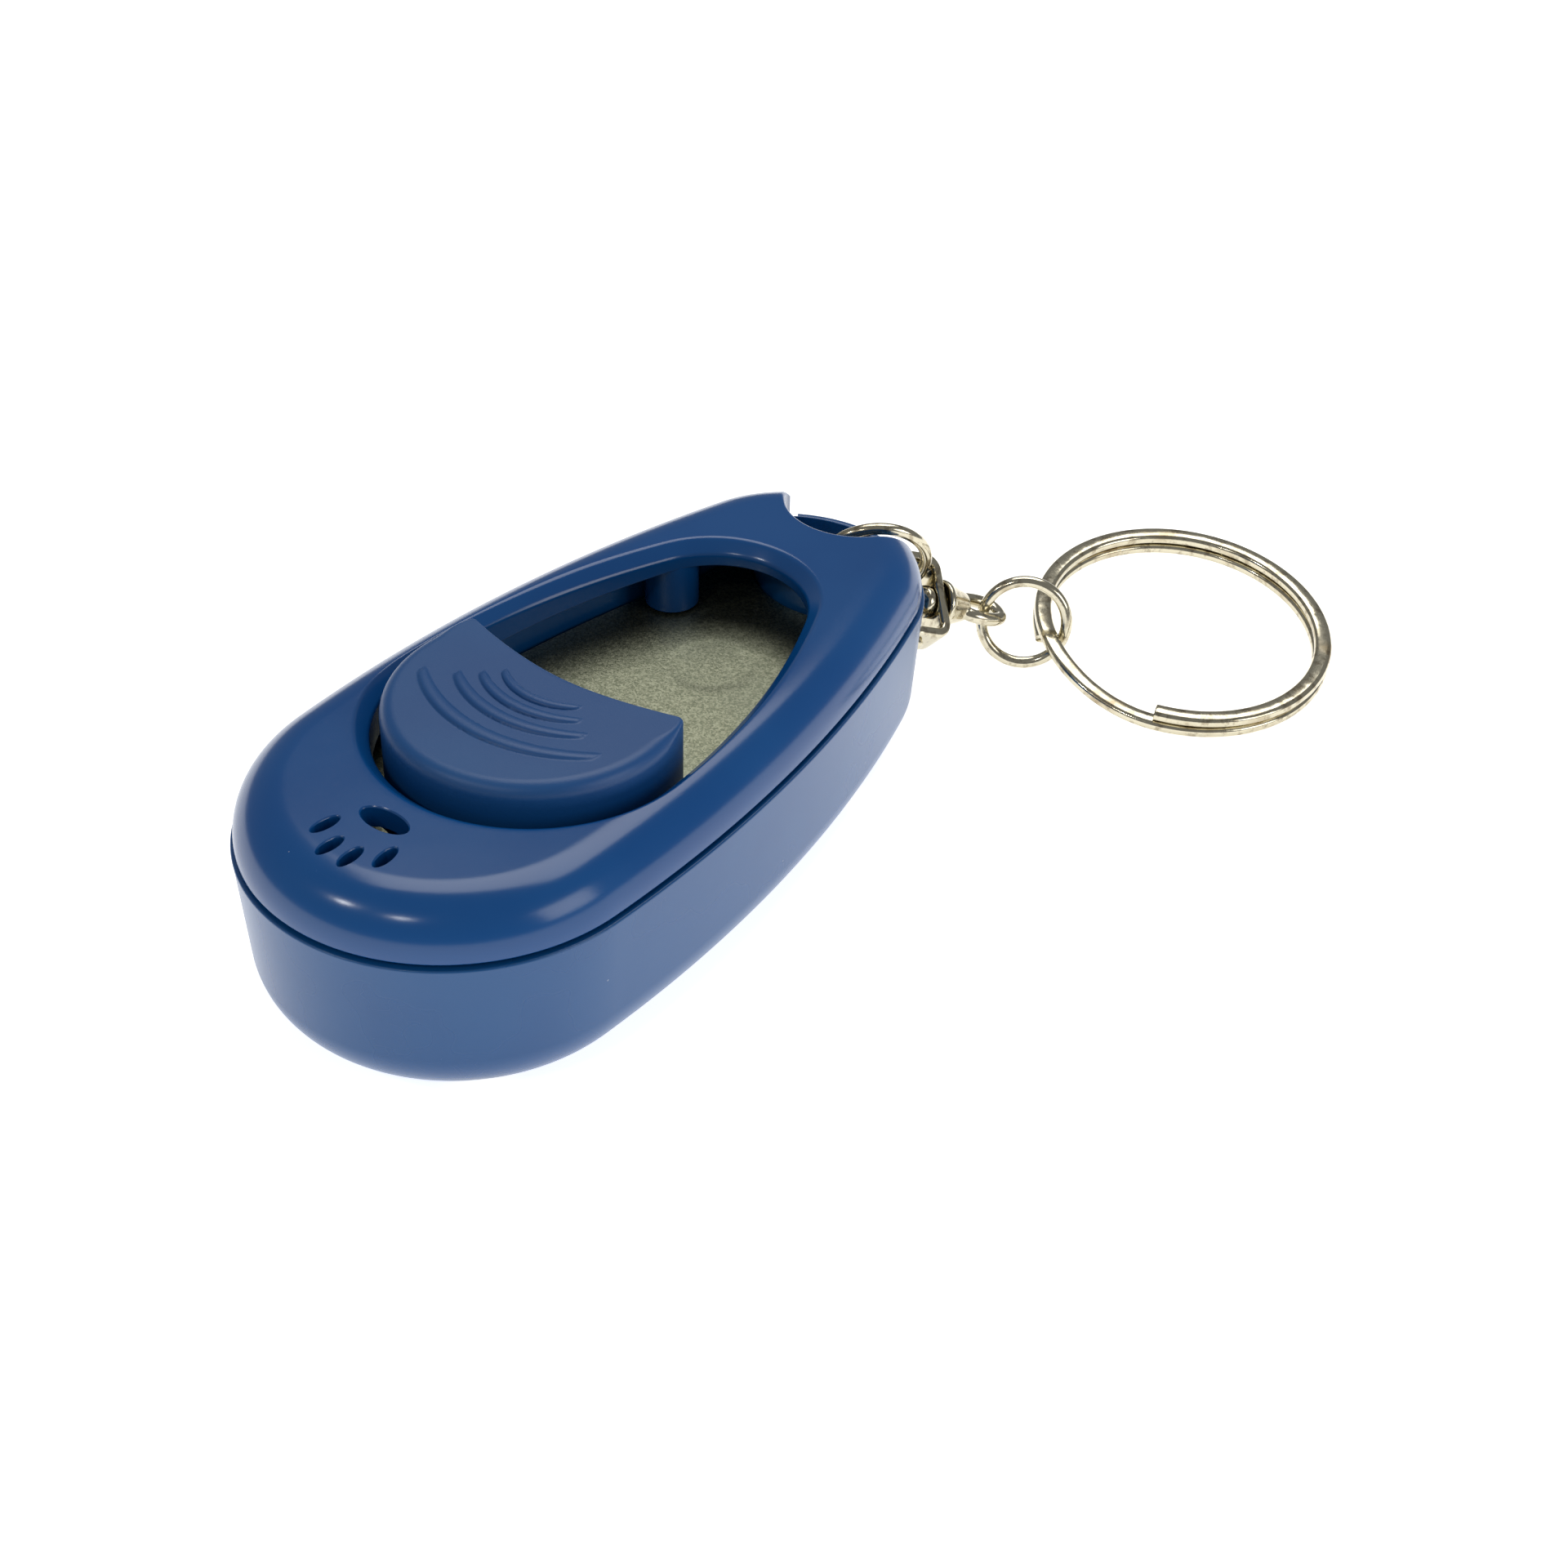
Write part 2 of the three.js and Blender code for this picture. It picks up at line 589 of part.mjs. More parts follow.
// A headed stem through the yoke's base, a flanged cone outside it, and a flat oval eye.
function swivelEye() {
  const base = yokeReach;
  const inside = base - yokeSheet / 2 - tightGap;
  const outside = base + yokeSheet / 2 + tightGap;
  const coneLength = 2.6;
  const profile = [
    [0, inside - 1.1], [1.0, inside - 1.0], [1.4, inside - 0.5], [1.4, inside], [stemRadius, inside],
    [stemRadius, outside], [2.1, outside], [2.1, outside + 0.5], [1.25, outside + coneLength],
    [0, outside + coneLength],
  ].map(([r, x]) => new THREE.Vector2(r, x));
  const turned = new THREE.LatheGeometry(profile, 20);
  turned.rotateZ(-Math.PI / 2);
  const halfWidth = 1.55;
  const start = outside + coneLength * 0.62 + eyeWire / 2;
  const stop = base + eyeReach;
  const path = new THREE.CatmullRomCurve3([
    new THREE.Vector3(start, halfWidth * 0.75, 0),
    new THREE.Vector3((start + stop) / 2, halfWidth, 0),
    new THREE.Vector3(stop - 0.5, halfWidth * 0.75, 0),
    new THREE.Vector3(stop, 0, 0),
    new THREE.Vector3(stop - 0.5, -halfWidth * 0.75, 0),
    new THREE.Vector3((start + stop) / 2, -halfWidth, 0),
    new THREE.Vector3(start, -halfWidth * 0.75, 0),
  ]);
  const wire = new THREE.ExtrudeGeometry(ellipse(0, 0, eyeWire / 2, eyeWire / 2), {
    extrudePath: path,
    steps: 24,
    curveSegments: 5,
  });
  const crossing = new THREE.CylinderGeometry(eyeWire / 2, eyeWire / 2, 2.6 * halfWidth, 10);
  crossing.translate(start - 0.1, 0, 0);
  const eye = union([solid(turned), solid(wire), solid(crossing)]);
  return toMesh('swivel_eye', eye, nickel());
}

// The split ring's wire goes round nearly twice, one turn on top of the other, and steps down
// from the upper turn to the lower one between its two ends.
function splitRing() {
  const meanRadius = splitOuterRadius - splitWireWidth / 2;
  const stepStart = THREE.MathUtils.degToRad(splitStepStart);
  const stepEnd = THREE.MathUtils.degToRad(splitStepEnd);
  const turn = 2 * Math.PI;
  class TwoTurns extends THREE.Curve {
    getPoint(t, target = new THREE.Vector3()) {
      const angle = stepEnd + t * (2 * turn - (stepEnd - stepStart));
      const down = THREE.MathUtils.smoothstep(angle, stepStart + turn, stepEnd + turn);
      const height = splitPitch * (0.5 - down);
      return target.set(meanRadius * Math.cos(angle), meanRadius * Math.sin(angle), height);
    }
  }
  const halfHeight = splitWireHeight / 2;
  const halfWidth = splitWireWidth / 2;
  const corner = 0.35;
  const section = new THREE.Shape([
    [-halfHeight, -halfWidth + corner], [-halfHeight + corner, -halfWidth], [halfHeight - corner, -halfWidth],
    [halfHeight, -halfWidth + corner], [halfHeight, halfWidth - corner], [halfHeight - corner, halfWidth],
    [-halfHeight + corner, halfWidth], [-halfHeight, halfWidth - corner],
  ].map(([x, y]) => new THREE.Vector2(x, y)));
  const geometry = new THREE.ExtrudeGeometry(section, { extrudePath: new TwoTurns(), steps: 84 });
  return toMesh('split_ring', solid(geometry), nickel());
}

function place(object, centre, zDirection, xLean) {
  const z = new THREE.Vector3(...zDirection).normalize();
  const x = new THREE.Vector3(...xLean);
  x.addScaledVector(z, -x.dot(z)).normalize();
  const y = z.clone().cross(x);
  object.quaternion.setFromRotationMatrix(new THREE.Matrix4().makeBasis(x, y, z));
  object.position.set(...centre);
  return object;
}

// The swivel's yoke, pin and eye. The eye is turned about its own stem.
function swivel() {
  const group = new THREE.Group();
  const eye = swivelEye();
  eye.rotation.x = eyeTurn;
  group.add(swivelYoke(), yokePin(), eye);
  return group;
}

// The chain as it lies beside the case. Each piece is placed by its centre, by its +Z direction
// (a ring's axis, the swivel's pin) and by the direction that its +X leans to (the swivel's eye).
// The split ring lies on the surface and leans on the link ring's wire.
function keyChain() {
  const lugRing = jumpRing('lug_ring', lugMeanRadius, lugWire, 2.2);
  const linkRing = jumpRing('link_ring', linkMeanRadius, linkWire, -0.6);
  const chain = new THREE.Group();
  chain.add(
    place(lugRing, [0.85, farEnd - 0.05, 11.20], [0.626, -0.702, -0.339], [0.290, -0.194, 0.937]),
    place(swivel(), [3.67, farEnd + 0.81, 8.16], [-0.623, 0.573, 0.532], [0.432, 0.819, -0.377]),
    place(linkRing, [10.45, farEnd + 9.27, 4.29], [0.526, -0.806, 0.271], [-0.136, 0.234, 0.963]),
    place(splitRing(), [20.51, farEnd + 19.14, 2.73], [0.112, -0.051, 0.992], [1, 0, 0]),
  );
  return chain;
}

// ---------------------------------------------------------------- whole object

const clicker = new THREE.Group();
clicker.add(lowerShell(), topCover(), clickPlate(), thumbButton());
clicker.add(pushNut('button_push_nut_left', -stakeSpacing / 2));
clicker.add(pushNut('button_push_nut_right', stakeSpacing / 2));
screws.forEach((screw) => clicker.add(caseScrew(screw)));
clicker.add(keyChain());

export default clicker;
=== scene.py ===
"""The looks of a thumb-button clicker on a key chain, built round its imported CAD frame.

Sizes are in millimetres in the part's own frame: +Z up, +Y towards the key chain, and the origin in
the middle of the case's underside. Meshes are written in metres.
"""

import json
import math

import bmesh
import bpy
import numpy as np
from mathutils import Matrix, Vector


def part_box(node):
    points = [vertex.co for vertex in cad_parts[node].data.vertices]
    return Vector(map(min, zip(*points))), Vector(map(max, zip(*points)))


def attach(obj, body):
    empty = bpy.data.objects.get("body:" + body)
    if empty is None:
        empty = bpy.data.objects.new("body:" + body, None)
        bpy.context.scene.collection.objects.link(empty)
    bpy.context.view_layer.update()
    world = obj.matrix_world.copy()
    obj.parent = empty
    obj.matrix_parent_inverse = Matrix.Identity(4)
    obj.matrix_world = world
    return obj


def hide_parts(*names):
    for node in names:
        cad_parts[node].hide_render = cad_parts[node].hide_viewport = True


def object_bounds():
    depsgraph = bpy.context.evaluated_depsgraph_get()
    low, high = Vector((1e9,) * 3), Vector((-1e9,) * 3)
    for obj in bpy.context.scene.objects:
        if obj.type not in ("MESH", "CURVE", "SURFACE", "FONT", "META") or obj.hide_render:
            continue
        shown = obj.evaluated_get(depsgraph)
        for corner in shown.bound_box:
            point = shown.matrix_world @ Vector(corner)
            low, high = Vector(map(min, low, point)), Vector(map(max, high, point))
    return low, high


MM = 0.001
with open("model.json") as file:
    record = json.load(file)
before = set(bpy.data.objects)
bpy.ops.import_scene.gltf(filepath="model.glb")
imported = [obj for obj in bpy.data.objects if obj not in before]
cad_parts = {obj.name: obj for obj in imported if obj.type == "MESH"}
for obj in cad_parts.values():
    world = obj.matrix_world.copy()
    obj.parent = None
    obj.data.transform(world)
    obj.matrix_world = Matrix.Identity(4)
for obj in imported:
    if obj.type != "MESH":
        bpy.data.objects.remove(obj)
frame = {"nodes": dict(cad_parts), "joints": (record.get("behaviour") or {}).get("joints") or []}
cad_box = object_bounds()

# ---------------------------------------------------------------- driving dimensions

CASE_LENGTH = 65.9
CASE_NEAR_RADIUS = 15.95
CASE_FAR_RADIUS = 11.2
CASE_SIDE_RADIUS = 119.0
FAR_END = CASE_LENGTH / 2
NEAR_END = -CASE_LENGTH / 2
CASE_TOP = 18.0
PARTING = 13.6  # where the two halves meet
TRAY_TOP = 13.45
COVER_BOTTOM = 13.75
TRAY_WALL = 2.0
TRAY_DRAFT = 0.87
TRAY_EDGE = 4.7
COVER_WALL = 1.6
COVER_INSET = 0.25
COVER_EDGE = 4.0
LIP_INSET = 1.2
LIP_TOP = TRAY_TOP + 1.1
FIT_GAP = 0.3  # between pieces that fit into or rest on each other
TIGHT_GAP = 0.15  # in small metal joints

WINDOW_NEAR_RIM = 11.6
WINDOW_FAR_RIM = 12.35
WINDOW_NEAR_RADIUS = 13.2
WINDOW_FAR_RADIUS = 8.5
WINDOW_SIDE_RADIUS = 61.0
BEVEL_DEPTH = 1.0
BEVEL_WIDTH = 1.05
SKIRT_WALL = 1.2
SKIRT_FAR_HEIGHT = 16.0
SKIRT_SLOPE = 0.052

PAD_FROM_NEAR_END = 9.05
PAD_RADII = (2.1, 1.0)
TOE_RADII = (0.48, 1.2)

NOTCH_RADIUS = 5.9
NOTCH_Y = FAR_END - 1.8
NOTCH_ROUND = 0.4
HORN_RADIUS = 0.9
POCKET_RADIUS = 7.2
POCKET_WALL = 1.2
POCKET_FLOOR = 3.5
POCKET_HALF_WIDTH = 6.6
BAR_TOP = 14.4
BAR_BOTTOM = 12.3
BAR_INNER = 1.4

PLATE_TOP = 11.5
PLATE_THICKNESS = 0.6
PLATE_GAP = 0.45
PLATE_OVERLAP = 0.8  # the plate's round near end is this much larger in radius than the window
DIMPLE_RADIUS = 3.9
DIMPLE_DEPTH = 0.045

BUTTON_TOP = 20.0
BUTTON_RADIUS = 11.15
BUTTON_Y = -8.4
BUTTON_LENGTH = 16.1
BUTTON_FAR_RADIUS = 33.0
BUTTON_WALL = 1.5
RIB_HEIGHT = 0.3

SCREW_X = {"near": 8.5, "far": 8.2}
SCREW_Y = {"near": NEAR_END + 8.1, "far": FAR_END - 15.75}
SCREW_RADIUS = 1.1
SCREW_HEAD_RADIUS = 2.1
SCREW_HEAD_HEIGHT = 1.4
SCREW_RECESS = 1.1
SCREW_LENGTH = 14.4
POST_RADIUS = 2.2
BOSS_RADIUS = 2.7
STAKE_X = 5.0
STAKE_Y = BUTTON_Y
STAKE_RADIUS = 0.9
STAKE_COLLAR = 0.8
STAKE_BOTTOM = 9.4
NUT_WIDTH = 1.4
NUT_THICKNESS = 0.5


class Egg:
    """An egg outline: a near arc, a far arc and two long side arcs that touch both."""

    def __init__(self, near, far, side, near_y, far_y):
        self.near = near
        self.far = far
        self.side = side
        self.near_y = near_y
        self.far_y = far_y
        to_near = side - near
        to_far = side - far
        span = far_y - near_y
        self.up = (to_near**2 - to_far**2 + span**2) / (2 * span)
        self.across = math.sqrt(to_near**2 - self.up**2)
        self.near_turn = math.atan2(-self.up, self.across)
        self.far_turn = math.atan2(span - self.up, self.across)


CASE = Egg(
    CASE_NEAR_RADIUS,
    CASE_FAR_RADIUS,
    CASE_SIDE_RADIUS,
    NEAR_END + CASE_NEAR_RADIUS,
    FAR_END - CASE_FAR_RADIUS,
)
WINDOW = Egg(
    WINDOW_NEAR_RADIUS,
    WINDOW_FAR_RADIUS,
    WINDOW_SIDE_RADIUS,
    NEAR_END + WINDOW_NEAR_RIM + WINDOW_NEAR_RADIUS,
    FAR_END - WINDOW_FAR_RIM - WINDOW_FAR_RADIUS,
)

# ---------------------------------------------------------------- outlines and meshes

NEAR_POINTS = 64
SIDE_POINTS = 44
FAR_POINTS = 66  # shared out between far arc, horn and notch where the outline has a notch


def arc(x, y, radius, start, end, count, last=False):
    """Points (x + radius cos a, y + radius sin a) for count even steps of a from start to end."""
    angle = np.linspace(start, end, count + 1)
    if not last:
        angle = angle[:-1]
    return np.stack([x + radius * np.cos(angle), y + radius * np.sin(angle)], axis=1)


def both_sides(half):
    """The right half of an outline, from near to far, and its mirror image back again."""
    left = half[1:-1][::-1] * (-1, 1)
    return np.concatenate([half, left])


def egg_start(egg, inset):
    """The near arc and the side arc of an egg moved inwards by inset."""
    near = arc(0, egg.near_y, egg.near - inset, -math.pi / 2, egg.near_turn, NEAR_POINTS)
    side_y = egg.near_y + egg.up
    side = arc(-egg.across, side_y, egg.side - inset, egg.near_turn, egg.far_turn, SIDE_POINTS)
    return [near, side]


def egg_outline(egg, inset):
    """An egg moved inwards by inset."""
    far = arc(0, egg.far_y, egg.far - inset, egg.far_turn, math.pi / 2, FAR_POINTS, last=True)
    return both_sides(np.concatenate([*egg_start(egg, inset), far]))


def notched_outline(egg, inset, notch, horn=HORN_RADIUS):
    """An egg moved inwards by inset, less a disc of radius notch, with its two horns rounded.

    The horn's centre lies horn inside the egg and horn outside the disc, where two circles cross.
    """
    far = egg.far - inset
    apart = NOTCH_Y - egg.far_y
    up = ((far - horn) ** 2 - (notch + horn) ** 2 + apart**2) / (2 * apart)
    out = math.sqrt((far - horn) ** 2 - up**2)
    leave = math.atan2(up, out)
    turn = math.atan2(apart - up, -out)
    enter = math.atan2(up - apart, out)
    counts = (22, 16, FAR_POINTS - 38)
    pieces = [
        *egg_start(egg, inset),
        arc(0, egg.far_y, far, egg.far_turn, leave, counts[0]),
        arc(out, egg.far_y + up, horn, leave, turn, counts[1]),
        arc(0, NOTCH_Y, notch, enter, -math.pi / 2, counts[2], last=True),
    ]
    return both_sides(np.concatenate(pieces))


def circle_outline(x, y, radius, count=48):
    """A full circle."""
    return arc(x, y, radius, 0, 2 * math.pi, count)


def rectangle(left, right, near, far):
    """A rectangle's four corners, from its near left one."""
    return np.array([(left, near), (right, near), (right, far), (left, far)])


def ring(outline, height):
    """An outline at a height, which may be one number or one for each point."""
    heights = np.broadcast_to(height, len(outline))
    return np.column_stack([outline, heights])


def loft_faces(rings, points, closed):
    """Quads between neighbouring rings, and one flat face over each end unless the loft is closed."""
    index = np.arange(rings * points).reshape(rings, points)
    if closed:
        index = np.vstack([index, index[:1]])
    a = index[:-1]
    b = index[1:]
    quads = np.stack([a, np.roll(a, -1, 1), np.roll(b, -1, 1), b], axis=2).reshape(-1, 4).tolist()
    ends = [] if closed else [index[0][::-1].tolist(), index[-1].tolist()]
    return quads + ends


def new_object(name, points, faces, sharp=35):
    """A mesh object with outward faces, smooth except across edges over the sharp angle."""
    mesh = bpy.data.meshes.new(name)
    mesh.from_pydata((np.asarray(points) * MM).tolist(), [], faces)
    mesh.validate()
    obj = bpy.data.objects.new(name, mesh)
    bpy.context.scene.collection.objects.link(obj)
    smooth(obj, sharp)
    return obj


def smooth(obj, sharp):
    """Faces turned outwards, shaded smooth except across edges over the sharp angle."""
    work = bmesh.new()
    work.from_mesh(obj.data)
    bmesh.ops.recalc_face_normals(work, faces=work.faces)
    work.to_mesh(obj.data)
    work.free()
    obj.data.shade_smooth()
    obj.data.set_sharp_from_angle(angle=math.radians(sharp))


def loft(name, rings, closed=False, sharp=35):
    """A skin over rings that all have the same number of points."""
    rings = np.asarray(rings)
    faces = loft_faces(len(rings), rings.shape[1], closed)
    return new_object(name, rings.reshape(-1, 3), faces, sharp)


def apply_modifiers(obj):
    """The object's mesh with its modifiers worked in."""
    graph = bpy.context.evaluated_depsgraph_get()
    final = bpy.data.meshes.new_from_object(obj.evaluated_get(graph))
    obj.modifiers.clear()
    obj.data = final


def combine(obj, how, *tools, sharp=35):
    """Joins the tools to obj (UNION) or cuts them out of it (DIFFERENCE), and removes them."""
    for tool in tools:
        modifier = obj.modifiers.new("combine", "BOOLEAN")
        modifier.operation = how
        modifier.solver = "MANIFOLD"
        modifier.object = tool
        apply_modifiers(obj)
        bpy.data.objects.remove(tool)
    obj.data.shade_smooth()
    obj.data.set_sharp_from_angle(angle=math.radians(sharp))
    return obj


def prism(outline, low, high):
    """A straight block over an outline."""
    return loft("tool", [ring(outline, low), ring(outline, high)])


def revolve(name, profile, axis_origin=(0, 0, 0), count=48, sharp=35):
    """A profile of (radius, height) points turned about a vertical line, its ends on the line."""
    profile = np.asarray(profile, float)
    angle = np.linspace(0, 2 * math.pi, count, endpoint=False)
    radius = np.maximum(profile[:, :1], 1e-4)
    heights = np.broadcast_to(profile[:, 1:2], (len(profile), count))
    rings = np.stack([radius * np.cos(angle), radius * np.sin(angle), heights], axis=2)
    return loft(name, rings + np.asarray(axis_origin), sharp=sharp)


def quarter(steps):
    """Angles of a quarter turn."""
    return np.linspace(0, math.pi / 2, steps)


def weigh_normals(obj):
    """Lets large flat faces decide the shading beside small rounds."""
    modifier = obj.modifiers.new("weigh_normals", "WEIGHTED_NORMAL")
    modifier.keep_sharp = True
    modifier.weight = 100
    apply_modifiers(obj)


def finish_piece(obj, name, material, body, nodes):
    """Names a piece, gives it its material, hangs it under its body's empty and hides the CAD nodes it
    stands for.
    """
    obj.name = name
    obj.data.name = name
    obj.data.materials.clear()
    obj.data.materials.append(material)
    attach(obj, body)
    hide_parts(*nodes)
    return obj


# ---------------------------------------------------------------- materials


class Wire:
    """A number in a material. Python's operators on it add Math nodes."""

    def __init__(self, finish, socket):
        self.finish = finish
        self.socket = socket

    def math(self, operation, first, second):
        return self.finish.add("ShaderNodeMath", {"operation": operation}, {0: first, 1: second})

    def __add__(self, other):
        return self.math("ADD", self, other)

    __radd__ = __add__

    def __sub__(self, other):
        return self.math("SUBTRACT", self, other)

    def __rsub__(self, other):
        return self.math("SUBTRACT", other, self)

    def __mul__(self, other):
        return self.math("MULTIPLY", self, other)

    __rmul__ = __mul__


class Finish:
    """A material with one Principled shader, and the nodes that vary it over the surface."""

    def __init__(self, name, **constants):
        self.material = bpy.data.materials.new(name)
        self.material.use_nodes = True
        self.nodes = self.material.node_tree.nodes
        self.links = self.material.node_tree.links
        self.shader = self.nodes["Principled BSDF"]
        for socket, value in constants.items():
            self.shader.inputs[socket.replace("_", " ")].default_value = value
        self.place = self.add("ShaderNodeTexCoord", {}, {}, "Object")

    def add(self, kind, settings, values, out=0):
        """A node of a kind with its settings, then its sockets' values or links; gives one output."""
        node = self.nodes.new(kind)
        for name, value in settings.items():
            setattr(node, name, value)
        for socket, value in values.items():
            if isinstance(value, Wire):
                self.links.new(value.socket, node.inputs[socket])
            else:
                node.inputs[socket].default_value = value
        return Wire(self, node.outputs[out])

    def feed(self, socket, wire):
        """Links a wire to one of the shader's sockets."""
        self.links.new(wire.socket, self.shader.inputs[socket])

    def noise(self, size, detail=2.0, roughness=0.5, place=None):
        """Soft noise from 0 to 1 whose features are about size millimetres across."""
        values = {
            "Vector": place or self.place,
            "Scale": 1 / (size * MM),
            "Detail": detail,
            "Roughness": roughness,
        }
        return self.add("ShaderNodeTexNoise", {}, values, "Fac")

    def cells(self, size, out="Color"):
        """A cell pattern of about size millimetres: its colour, or the distance to a cell's middle."""
        return self.add("ShaderNodeTexVoronoi", {}, {"Vector": self.place, "Scale": 1 / (size * MM)}, out)

    def step(self, wire, low, high):
        """0 below low, 1 above high, smooth between."""
        settings = {"interpolation_type": "SMOOTHSTEP"}
        return self.add("ShaderNodeMapRange", settings, {"Value": wire, "From Min": low, "From Max": high})

    def squeeze(self, x, y, z):
        """The place with its axes scaled, which draws a pattern out along the axes under 1."""
        return self.add("ShaderNodeMapping", {}, {"Vector": self.place, "Scale": (x, y, z)})

    def hairlines(self, along_x, along_y):
        """Sparse thin lines: where drawn-out noise crosses its middle value, inside a few patches."""
        noise = self.noise(1.6, 1.0, place=self.squeeze(along_x, along_y, 1.0))
        near_middle = self.step(self.math_abs(noise - 0.5), 0.0008, 0.002)
        patches = self.step(self.noise(6.0 / (along_x + along_y), 2.0), 0.6, 0.66)
        return (1 - near_middle) * patches

    def math_abs(self, wire):
        """The size of a number without its sign."""
        return self.add("ShaderNodeMath", {"operation": "ABSOLUTE"}, {0: wire})

    def blend(self, factor, first, second):
        """A colour from first to second."""
        settings = {"data_type": "RGBA"}
        return self.add("ShaderNodeMix", settings, {0: factor, 6: first, 7: second}, 2)

    def bump(self, height, depth, strength=1.0, normal=None):
        """A normal from a height of 0 to 1 that stands for depth millimetres."""
        values = {"Height": height, "Distance": depth * MM, "Strength": strength}
        if normal:
            values["Normal"] = normal
        return self.add("ShaderNodeBump", {}, values)

    def split(self, wire):
        """The red, green and blue of a colour, as numbers."""
        node = self.nodes.new("ShaderNodeSeparateColor")
        self.links.new(wire.socket, node.inputs[0])
        return [Wire(self, output) for output in node.outputs]


def moulded_plastic(name, deep, worn, gloss, grain, grain_size, scratch):
    """Moulded plastic: colour slightly clouded, fine grain, fine scratches and a little dust.

    The colour goes from deep to worn, gloss is the least roughness, grain and grain_size are the
    depth and width of the grain in millimetres, and scratch is the roughness of a scratch.
    """
    finish = Finish(name, IOR=1.5)
    cloud = finish.noise(14.0, 3.0)
    fine = finish.noise(grain_size, 2.0)
    ripple = finish.noise(5.0, 1.0)
    scratches = finish.hairlines(0.06, 1.0) + finish.hairlines(1.0, 0.08)
    speck_middle = finish.cells(2.6, "Distance")
    speck_pick = finish.split(finish.cells(2.6))[0]
    specks = (1 - finish.step(speck_middle, 0.018, 0.04)) * finish.step(speck_pick, 0.72, 0.78)
    colour = finish.blend(finish.step(cloud, 0.35, 0.65), deep, worn)
    colour = finish.blend(specks * 0.55, colour, (0.42, 0.46, 0.52, 1))
    finish.feed("Base Color", colour)
    finish.feed("Roughness", gloss + cloud * 0.06 + scratches * scratch + specks * 0.3)
    wavy = finish.bump(ripple, 0.012)
    grainy = finish.bump(fine, grain, 0.8, wavy)
    finish.feed("Normal", finish.bump(scratches, 0.002 * scratch / 0.1, 0.5, grainy))
    return finish.material


def satin_spring_steel():
    """Tumbled spring steel: fine sparkling grain, a dull warm tint and soft darker clouds."""
    finish = Finish("satin_spring_steel", Metallic=1.0)
    grain = finish.split(finish.cells(0.13))
    coarse = finish.noise(0.3, 3.0, 0.7)
    cloud = finish.noise(9.0, 2.0)
    light = finish.step(grain[0] * 0.55 + coarse * 0.6, 0.2, 1.0)
    colour = finish.blend(light, (0.19, 0.205, 0.135, 1), (0.46, 0.465, 0.33, 1))
    colour = finish.blend(finish.step(cloud, 0.35, 0.7) * 0.25, colour, (0.2, 0.22, 0.17, 1))
    finish.feed("Base Color", colour)
    finish.feed("Roughness", 0.36 + grain[1] * 0.14)
    grainy = finish.bump(grain[2], 0.006, 0.8)
    finish.feed("Normal", finish.bump(coarse, 0.012, 0.6, grainy))
    return finish.material


def nickel_plate():
    """Warm nickel plate on wire: brown stains, slight waviness and dull patches."""
    finish = Finish("nickel_plate", Metallic=1.0)
    wave = finish.noise(2.2, 2.0)
    fine = finish.noise(0.25, 3.0, 0.6)
    dull = finish.step(finish.noise(3.5, 3.0), 0.5, 0.75)
    stain = finish.step(finish.noise(0.9, 3.0, 0.6), 0.5, 0.68)
    colour = finish.blend(dull, (0.62, 0.57, 0.43, 1), (0.42, 0.35, 0.23, 1))
    colour = finish.blend(stain * 0.6, colour, (0.22, 0.165, 0.095, 1))
    finish.feed("Base Color", colour)
    finish.feed("Roughness", 0.1 + dull * 0.1 + fine * 0.08)
    wavy = finish.bump(wave, 0.06, 0.7)
    finish.feed("Normal", finish.bump(fine, 0.004, 0.5, wavy))
    return finish.material


def zinc_plate():
    """Bright zinc on the screws, with a turned grain and stains."""
    finish = Finish("zinc_plate", Metallic=1.0)
    stain = finish.noise(1.2, 3.0)
    turned = finish.noise(0.12, 1.0, place=finish.squeeze(1.0, 1.0, 0.1))
    finish.feed("Base Color", finish.blend(stain, (0.62, 0.63, 0.65, 1), (0.42, 0.43, 0.44, 1)))
    finish.feed("Roughness", 0.25 + turned * 0.15 + stain * 0.1)
    finish.feed("Normal", finish.bump(turned, 0.006, 0.5))
    return finish.material


SHELL = moulded_plastic(
    "glossy_blue_plastic",
    deep=(0.0015, 0.06, 0.22, 1),
    worn=(0.003, 0.068, 0.235, 1),
    gloss=0.16,
    grain=0.002,
    grain_size=0.35,
    scratch=0.05,
)
TRAY = moulded_plastic(
    "satin_blue_plastic",
    deep=(0.002, 0.063, 0.21, 1),
    worn=(0.005, 0.074, 0.225, 1),
    gloss=0.24,
    grain=0.003,
    grain_size=0.3,
    scratch=0.04,
)
BUTTON = moulded_plastic(
    "matt_blue_plastic",
    deep=(0.002, 0.06, 0.21, 1),
    worn=(0.004, 0.07, 0.225, 1),
    gloss=0.4,
    grain=0.012,
    grain_size=0.16,
    scratch=0.03,
)
STEEL = satin_spring_steel()
NICKEL = nickel_plate()
ZINC = zinc_plate()


# ---------------------------------------------------------------- case


def rounded_profile(corners, radius, steps=5):
    """A polyline of (inset, height) corners, each inner corner replaced by a small curve.

    The curve is the quadratic one from radius before the corner to radius after it.
    """
    corners = np.asarray(corners, float)
    profile = [corners[0]]
    for before, corner, after in zip(corners, corners[1:], corners[2:]):
        start = corner + (before - corner) * radius / np.linalg.norm(before - corner)
        end = corner + (after - corner) * radius / np.linalg.norm(after - corner)
        share = np.linspace(0, 1, steps)[:, None]
        profile.extend((1 - share) ** 2 * start + 2 * share * (1 - share) * corner + share**2 * end)
    profile.append(corners[-1])
    return profile


